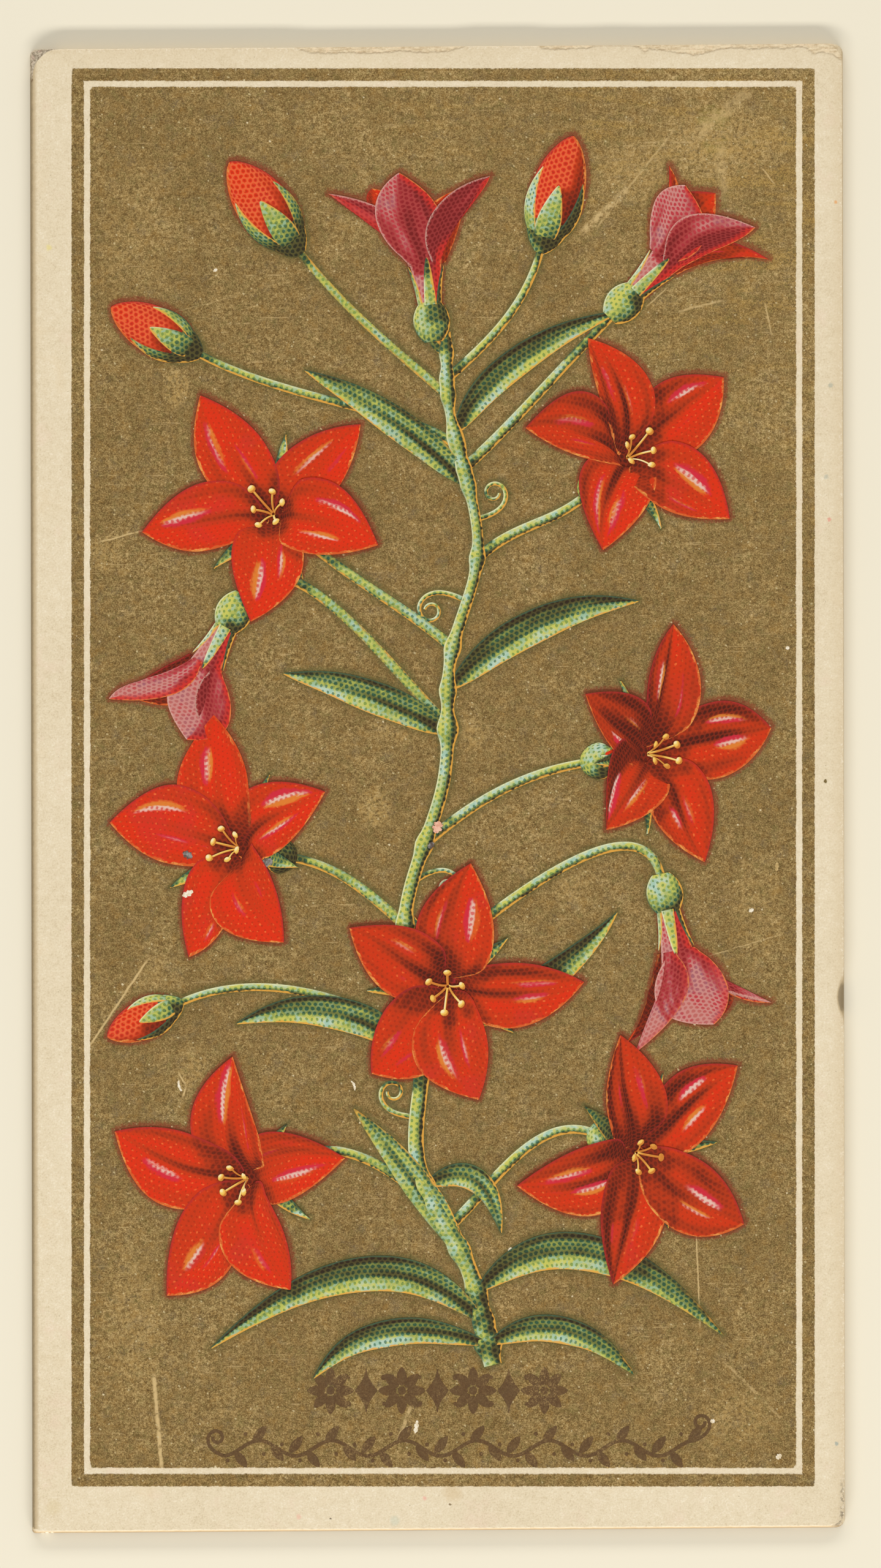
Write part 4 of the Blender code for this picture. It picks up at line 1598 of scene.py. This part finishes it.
def make_gold(sizes, inks):
    """The gold ground as a grid between wavering edges, and the gold band as a section carried round it."""
    gold = gold_material(inks)
    left, right = sizes.band_left / MM, sizes.band_right / MM
    bottom, top = sizes.band_bottom / MM, sizes.band_top / MM
    inset = (sizes.band_width + sizes.line_width) / MM
    u = np.linspace(0, 1, GOLD_COLUMNS)[:, None]
    v = np.linspace(0, 1, GOLD_ROWS)[None, :]
    y_line = bottom + inset + (top - bottom - 2 * inset) * v
    x_line = left + inset + (right - left - 2 * inset) * u
    x_low = left + inset + wobble(y_line, 1, GOLD_WAVER)
    x_high = right - inset + wobble(y_line, 2, GOLD_WAVER)
    y_low = bottom + inset + wobble(x_line, 3, GOLD_WAVER)
    y_high = top - inset + wobble(x_line, 4, GOLD_WAVER)
    x = x_low + (x_high - x_low) * u
    y = y_low + (y_high - y_low) * v
    sheets = [sheet for group in compose_picture().values() for sheet in group]
    beside = np.minimum(x - x_low, x_high - x)
    above = np.minimum(y - y_low, y_high - y)
    short_x, short_y = np.maximum(CORNER_ROUNDING - beside, 0), np.maximum(CORNER_ROUNDING - above, 0)
    edge = np.minimum(np.minimum(beside, above), CORNER_ROUNDING - np.hypot(short_x, short_y))
    values = nearness(x, y, sheets)
    values["print_edge"] = np.clip(edge, -0.1, 1) + 0.02
    grid = np.stack((x, y, np.full(x.shape, GOLD_TOP)), axis=-1)
    index = np.arange(x.size).reshape(x.shape)
    quads = np.stack((index[:-1, :-1], index[1:, :-1], index[1:, 1:], index[:-1, 1:]), axis=-1)
    border = np.concatenate((index[:-1, 0], index[-1, :-1], index[:0:-1, -1], index[0, :0:-1]))
    under = x.size + np.arange(len(border))
    below = grid.reshape(-1, 3)[border] * (1, 1, 0) + (0, 0, GOLD_FOOT)
    walls = np.stack((border, under, np.roll(under, -1), np.roll(border, -1)), axis=-1)
    faces = quads.reshape(-1, 4).tolist() + walls.tolist() + [under[::-1].tolist()]
    vertices = np.concatenate((grid.reshape(-1, 3), below))
    values = {key: np.concatenate((value.ravel(), value.ravel()[border])) for key, value in values.items()}
    field = mesh_object("gold_field", vertices, faces, [gold], values)
    band = make_band(gold, (left, right, bottom, top), sizes.band_width / MM)
    for piece in (field, band):
        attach(piece, "root")


BAND_STEPS = 240
# A blot on the upper side of the band: its middle, half length and height
BLOT = (-12.17, 0.15, 0.10)


def make_band(gold, box, width):
    """The gold band: a flat section carried round a rectangle with wavering sides and mitred corners."""
    left, right, bottom, top = box
    corners = np.array(((left, bottom), (right, bottom), (right, top), (left, top)))
    t = np.linspace(0, 1, BAND_STEPS + 1)[:-1, None]
    sides = zip(corners, np.roll(corners, -1, axis=0))
    outline = np.concatenate([start + (end - start) * t for start, end in sides])
    around = len(outline)
    middle = (corners[0] + corners[2]) / 2
    half = (corners[2] - corners[0]) / 2
    shares = np.linspace(0, 1, 7)
    rings = np.stack([middle + (outline - middle) * ((half - width * share) / half) for share in shares])
    run = np.arange(around) * 0.29
    for row, seed in ((0, 11), (-1, 12)):
        offset = wobble(run, seed, GOLD_WAVER)
        rings[row] += np.stack((offset, np.roll(offset, 37)), axis=-1)
    place, spread, size = BLOT
    outer_x, outer_y = rings[0].T
    rings[0, :, 1] += size * np.exp(-(((outer_x - place) / spread) ** 2)) * (outer_y > top - 0.1)
    upper = np.concatenate((rings, np.full((len(shares), around, 1), GOLD_TOP)), axis=-1)
    lower = upper[[-1, 0]].copy()
    lower[..., 2] = GOLD_FOOT
    points = np.concatenate((upper, lower))
    index = np.arange(len(points) * around).reshape(len(points), around)
    after = np.roll(index, -1, axis=1)
    next_row, next_after = np.roll(index, -1, axis=0), np.roll(after, -1, axis=0)
    faces = np.stack((index, after, next_after, next_row), axis=-1).reshape(-1, 4).tolist()
    from_edge = np.minimum(shares, 1 - shares) * width + 0.02
    edge = np.concatenate((from_edge, (0.02, 0.02)))[:, None] * np.ones((1, around))
    to_corner = np.abs(rings[:1] - middle) - half
    short = np.maximum(CORNER_ROUNDING + to_corner, 0)
    edge[:1] = np.minimum(edge[:1], 0.02 + CORNER_ROUNDING - np.hypot(short[..., 0], short[..., 1]))
    return mesh_object("gold_band", points.reshape(-1, 3), faces, [gold], {"print_edge": edge})


def make_picture(sizes, inks):
    """Every motif of the picture, each piece pressed onto the gold."""
    pitch = sizes.dot_pitch / MM
    palette = {
        "petal": petal_material(inks, pitch),
        "reverse": reverse_material(inks, pitch),
        "leaf": leaf_material(inks, pitch),
        "stamen": stamen_material(),
    }
    for name, sheets in compose_picture().items():
        green = [sheet for sheet in sheets if sheet.ink_name == "leaf"]
        other = [sheet for sheet in sheets if sheet.ink_name != "leaf"]
        green_name = f"{name}_green" if other else name
        for piece_name, group, slot in ((name, other, "red_ink"), (green_name, green, "green_ink")):
            if not group:
                continue
            piece = pressed(piece_name, group, palette, PRINT_BASE)
            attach(piece, "root")


# Rows of ornament under the picture: middle, and the distance between the elements or the half length
ROSETTE_ROW = (0.0, -28.2, 1.67)
VINE_ROW = (1.0, -30.9, 12.2)
# How far the vine swings, how long its wave is, and how far in from its ends it curls up
VINE_SWING = 0.36
VINE_WAVE = 3.4
VINE_CURL = 1.2


def flat_strip(path, half_widths, depth, ink_name="ornament"):
    """A flat strip along a path, with a half width at each of its points."""
    path = at_depth(path, depth)
    across, normal = frame_along(path)
    return carried(path, across, normal, half_widths, flat_section, ink_name, columns=5)


def disc(x, y, radius, depth=0.3):
    """A flat disc: a strip along its diameter, as wide as the sine of an even angle."""
    angle = np.linspace(math.pi - 0.02, 0.02, 20)
    path = np.stack((x + radius * np.cos(angle), np.full(20, y)), axis=-1)
    return flat_strip(path, radius * np.sin(angle), depth)


def ray_path(x, y, bearing, start, end, rows=20):
    """A straight path from one distance to another from a point, on a bearing in degrees."""
    return np.array((x, y)) + np.linspace(start, end, rows)[:, None] * direction(bearing)


def rosette(x, y):
    """Eight pointed petals about a disc."""
    half = 0.22 * pointed(np.linspace(0, 1, 20), 0.6, 0.8) + 0.015
    petals = [flat_strip(ray_path(x, y, 45 * k, 0.24, 1.10), half, 0.3 + 0.05 * k) for k in range(8)]
    return petals + [disc(x, y, 0.19, 0.8)]


def lozenge(x, y):
    """A four pointed star: a strip whose half width falls to its ends as a power of what is left."""
    left = 1 - np.abs(2 * np.linspace(0, 1, 30) - 1)
    return [flat_strip(ray_path(x, y, 90, -1.0, 1.0, 30), 0.52 * left**1.8 + 0.03, 0.3)]


def vine_height(run):
    """Height of the vine's wave above its row."""
    return VINE_SWING * np.sin(run * 2 * math.pi / VINE_WAVE)


def ornament_rows():
    """A row of rosettes and stars with beads between, and under it a vine with leaves and curled ends."""
    x, y, step = ROSETTE_ROW
    sheets = []
    for k in range(-3, 4):
        sheets += rosette(x + k * step, y) if k % 2 else lozenge(x + k * step, y)
    for side, radius in ((1, 0.13), (-1, 0.09)):
        sheets += [disc(x + (k + 0.5) * step, y + side * 0.62 * (-1) ** k, radius) for k in range(-3, 3)]
    x, y, half_length = VINE_ROW
    straight = half_length - VINE_CURL
    run = np.linspace(-straight, straight, 260)
    sheets.append(flat_strip(np.stack((x + run, y + vine_height(run)), axis=-1), np.full(260, 0.085), 0.3))
    half = 0.20 * pointed(np.linspace(0, 1, 20), 0.8, 0.9) + 0.012
    for k, place in enumerate(np.arange(-half_length + 1.7, half_length - 1.4, 0.85)):
        foot = y + vine_height(place) * 0.8
        side, size = (1, 1.02) if k % 2 else (-1, 0.94)
        sheets.append(flat_strip(ray_path(x + place, foot, side * 52, 0.02, size), half, 0.5 + 0.01 * k))
        sheets.append(disc(x + place - 0.34, foot + side * 0.42, 0.09))
    for side, heading in ((-1, 180), (1, 0)):
        start = (x + side * straight, y + vine_height(side * straight))
        line = curl(start, heading + side * 20, 3.0, side * 20, side * 420)
        sheets.append(flat_strip(line, np.full(len(line), 0.08), 0.3))
    return sheets


# Flaked and bruised places: middle, turn, length, width, bend, kind and whether it lies on a motif
Chip = namedtuple("Chip", "x y turn length width bend kind raised")
CHIPS = (
    Chip(-1.0, -29.9, 80, 0.62, 0.17, 10, "bare", False),
    Chip(15.99, -31.29, 40, 0.30, 0.20, 0, "bare", False),
    Chip(12.89, -29.63, 10, 0.22, 0.16, 0, "bare", False),
    Chip(-12.05, -13.9, 106, 0.55, 0.09, -60, "bare", False),
    Chip(-3.96, -13.9, 110, 0.50, 0.09, 60, "bare", True),
    Chip(0.0, -1.8, 70, 0.58, 0.40, 0, "blush", True),
    Chip(-11.7, -4.9, 25, 0.55, 0.24, 20, "bare", True),
    Chip(-8.0, -3.45, 15, 0.60, 0.34, 0, "slate", True),
    Chip(-11.7, -3.1, -30, 0.50, 0.30, 0, "slate", True),
    Chip(-0.3, -2.65, 50, 0.36, 0.24, 0, "slate", True),
    Chip(15.9, -3.65, 84, 0.42, 0.15, 0, "ochre", False),
    Chip(14.7, -5.7, 30, 0.26, 0.14, 0, "bare", False),
    Chip(-10.4, 24.3, 30, 0.20, 0.12, 0, "bare", False),
    Chip(3.4, -21.6, 60, 0.24, 0.14, 0, "bare", False),
    Chip(16.4, 6.6, 0, 0.18, 0.14, 0, "bare", False),
)


def chip_sheet(chip, rng):
    """A bent strip with an uneven outline: a half oval's width times a few waves."""
    u = np.linspace(0, 1, 24)
    heading = chip.turn - chip.bend / 2
    start = np.array((chip.x, chip.y)) - chip.length / 2 * direction(chip.turn)
    uneven = 1 + 0.25 * np.sin(u * 17 + rng.uniform(0, 6)) + 0.18 * np.sin(u * 41 + rng.uniform(0, 6))
    half = chip.width / 2 * np.sqrt(np.maximum(1 - (2 * u - 1) ** 2, 0)) * uneven + 0.008
    return flat_strip(curl(start, heading, chip.length, chip.bend, 0.0, 24), half, 0.4, chip.kind)


def make_marks(inks):
    """The printer's ornaments and the flaked and bruised places."""
    brown = {"ornament": brown_material(inks)}
    ornaments = pressed("ornament_rows", ornament_rows(), brown, PRINT_BASE)
    rng = np.random.default_rng(7)
    kinds = {
        "bare": chip_material("bare_chip", ink(222, 202, 164), ink(246, 236, 214)),
        "blush": chip_material("pink_chip", ink(214, 150, 122), ink(238, 188, 160)),
        "ochre": chip_material("ochre_chip", ink(172, 142, 88), ink(206, 176, 120)),
        "slate": chip_material("slate_scuff", ink(92, 76, 66), ink(150, 146, 140)),
    }
    low = [chip_sheet(chip, rng) for chip in CHIPS if not chip.raised]
    high = [chip_sheet(chip, rng) for chip in CHIPS if chip.raised]
    flaked = pressed("flaked_specks", low, kinds, FLAKED_BASE)
    bruised = pressed("bruised_specks", high, kinds, BRUISED_BASE)
    for piece, slot in ((ornaments, "brown_ink"), (flaked, "pasteboard"), (bruised, "pasteboard")):
        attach(piece, "root")


# The floor's half length, and how far under the card's back it lies
FLOOR_REACH = 1500.0
FLOOR_DROP = 0.002


def make_stage(stage):
    """The pale floor, two lamps like a copy stand's, an even sky and a camera straight above the card."""
    bench = Bench("pale_floor", tuple(stage.floor))
    corners = np.array(((-1, -1, 0), (1, -1, 0), (1, 1, 0), (-1, 1, 0))) * FLOOR_REACH - (0, 0, FLOOR_DROP)
    floor = mesh_object("floor", corners, [(0, 1, 2, 3)], [bench.finish(0.9)])
    add_lamp("key_lamp", -1.0, 0.09, stage.key)
    add_lamp("fill_lamp", 1.0, 0.16, stage.fill)
    world = bpy.data.worlds.new("even_sky")
    world.use_nodes = True
    world.node_tree.nodes["Background"].inputs["Color"].default_value = (1, 1, 1, 1)
    world.node_tree.nodes["Background"].inputs["Strength"].default_value = stage.sky
    scene = bpy.context.scene
    scene.world = world
    scene.view_settings.view_transform = "Standard"
    add_camera(stage)


# The lamps: width and distance from the card in metres, and degrees above the face
LAMP_WIDTH = 0.8
LAMP_DISTANCE = 0.70
LAMP_ELEVATION = 30


def add_lamp(name, side, size, share):
    """A wide lamp aimed at the card from its foot or its head, which gives a share of full white.

    A small lamp of power P at distance d lights a point by P cos(angle from the face's normal) /
    (pi d) squared in units of full white. A wide one lights it by less, because its ends are
    further away: by the mean of 1 + (offset / d) squared, to the power -2, over its width.
    """
    rise = math.radians(LAMP_ELEVATION)
    offsets = np.linspace(-0.5, 0.5, 41) * LAMP_WIDTH
    spread = float(np.mean((1 + (offsets / LAMP_DISTANCE) ** 2) ** -2))
    data = bpy.data.lights.new(name, "AREA")
    data.shape = "RECTANGLE"
    data.size = LAMP_WIDTH
    data.size_y = size
    data.energy = share * (math.pi * LAMP_DISTANCE) ** 2 / (math.sin(rise) * spread)
    lamp = bpy.data.objects.new(name, data)
    lamp.location = (0.0, side * math.cos(rise) * LAMP_DISTANCE, math.sin(rise) * LAMP_DISTANCE)
    lamp.rotation_euler = (math.radians(90 - LAMP_ELEVATION) * -side, 0.0, 0.0)
    bpy.context.scene.collection.objects.link(lamp)


# The photograph's frame on the card: its middle and its height
VIEW_CENTRE = (0.143, 0.222)
VIEW_HEIGHT = 73.47
SENSOR = 36.0


def add_camera(stage):
    """A camera straight above, at the height from which the frame's long side spans the view height."""
    data = bpy.data.cameras.new("copy_camera")
    data.lens = stage.lens
    data.sensor_width = SENSOR
    data.clip_start = 0.001
    camera = bpy.data.objects.new("copy_camera", data)
    above = VIEW_HEIGHT * stage.lens / SENSOR
    camera.location = (VIEW_CENTRE[0] * MM, VIEW_CENTRE[1] * MM, (FACE + above) * MM)
    bpy.context.scene.collection.objects.link(camera)
    bpy.context.scene.camera = camera


class CARD_OT_stock(Operator):
    """Make the pasteboard with its worn edges"""

    bl_idname = "printed_card.stock"
    bl_label = "Pasteboard"

    def execute(self, context):
        make_stock(context.scene.card_inks)
        return {"FINISHED"}


class CARD_OT_gold(Operator):
    """Print the gold ground and the gold band"""

    bl_idname = "printed_card.gold"
    bl_label = "Gold"

    def execute(self, context):
        make_gold(context.scene.card_sizes, context.scene.card_inks)
        return {"FINISHED"}


class CARD_OT_picture(Operator):
    """Print the stems, leaves, blossoms and buds"""

    bl_idname = "printed_card.picture"
    bl_label = "Picture"

    def execute(self, context):
        make_picture(context.scene.card_sizes, context.scene.card_inks)
        return {"FINISHED"}


class CARD_OT_marks(Operator):
    """Print the ornaments and flake the ink here and there"""

    bl_idname = "printed_card.marks"
    bl_label = "Ornaments and flakes"

    def execute(self, context):
        make_marks(context.scene.card_inks)
        return {"FINISHED"}


class CARD_OT_stage(Operator):
    """Set up the floor, the lamps and the camera"""

    bl_idname = "printed_card.stage"
    bl_label = "Stage"

    def execute(self, context):
        make_stage(context.scene.card_stage)
        return {"FINISHED"}


STEPS = (CARD_OT_stage, CARD_OT_stock, CARD_OT_gold, CARD_OT_picture, CARD_OT_marks)


class CARD_PT_panel(Panel):
    """Lists the card's settings and the steps that make it"""

    bl_label = "Printed card"
    bl_idname = "CARD_PT_panel"
    bl_space_type = "VIEW_3D"
    bl_region_type = "UI"
    bl_category = "Card"

    def draw(self, context):
        for settings in (context.scene.card_sizes, context.scene.card_inks, context.scene.card_stage):
            for name in settings.bl_rna.properties.keys():
                if name not in ("rna_type", "name"):
                    self.layout.prop(settings, name)
        for step in STEPS:
            self.layout.operator(step.bl_idname)


GROUPS = {"card_sizes": CardSizes, "card_inks": CardInks, "card_stage": CardStage}
CLASSES = (*GROUPS.values(), *STEPS, CARD_PT_panel)


def register():
    for cls in CLASSES:
        bpy.utils.register_class(cls)
    for name, group in GROUPS.items():
        setattr(bpy.types.Scene, name, PointerProperty(type=group))


def unregister():
    for name in GROUPS:
        delattr(bpy.types.Scene, name)
    for cls in reversed(CLASSES):
        bpy.utils.unregister_class(cls)


def main():
    register()
    bpy.ops.printed_card.stage()
    bpy.ops.printed_card.stock()
    bpy.ops.printed_card.gold()
    bpy.ops.printed_card.picture()
    bpy.ops.printed_card.marks()


if __name__ == "__main__":
    main()
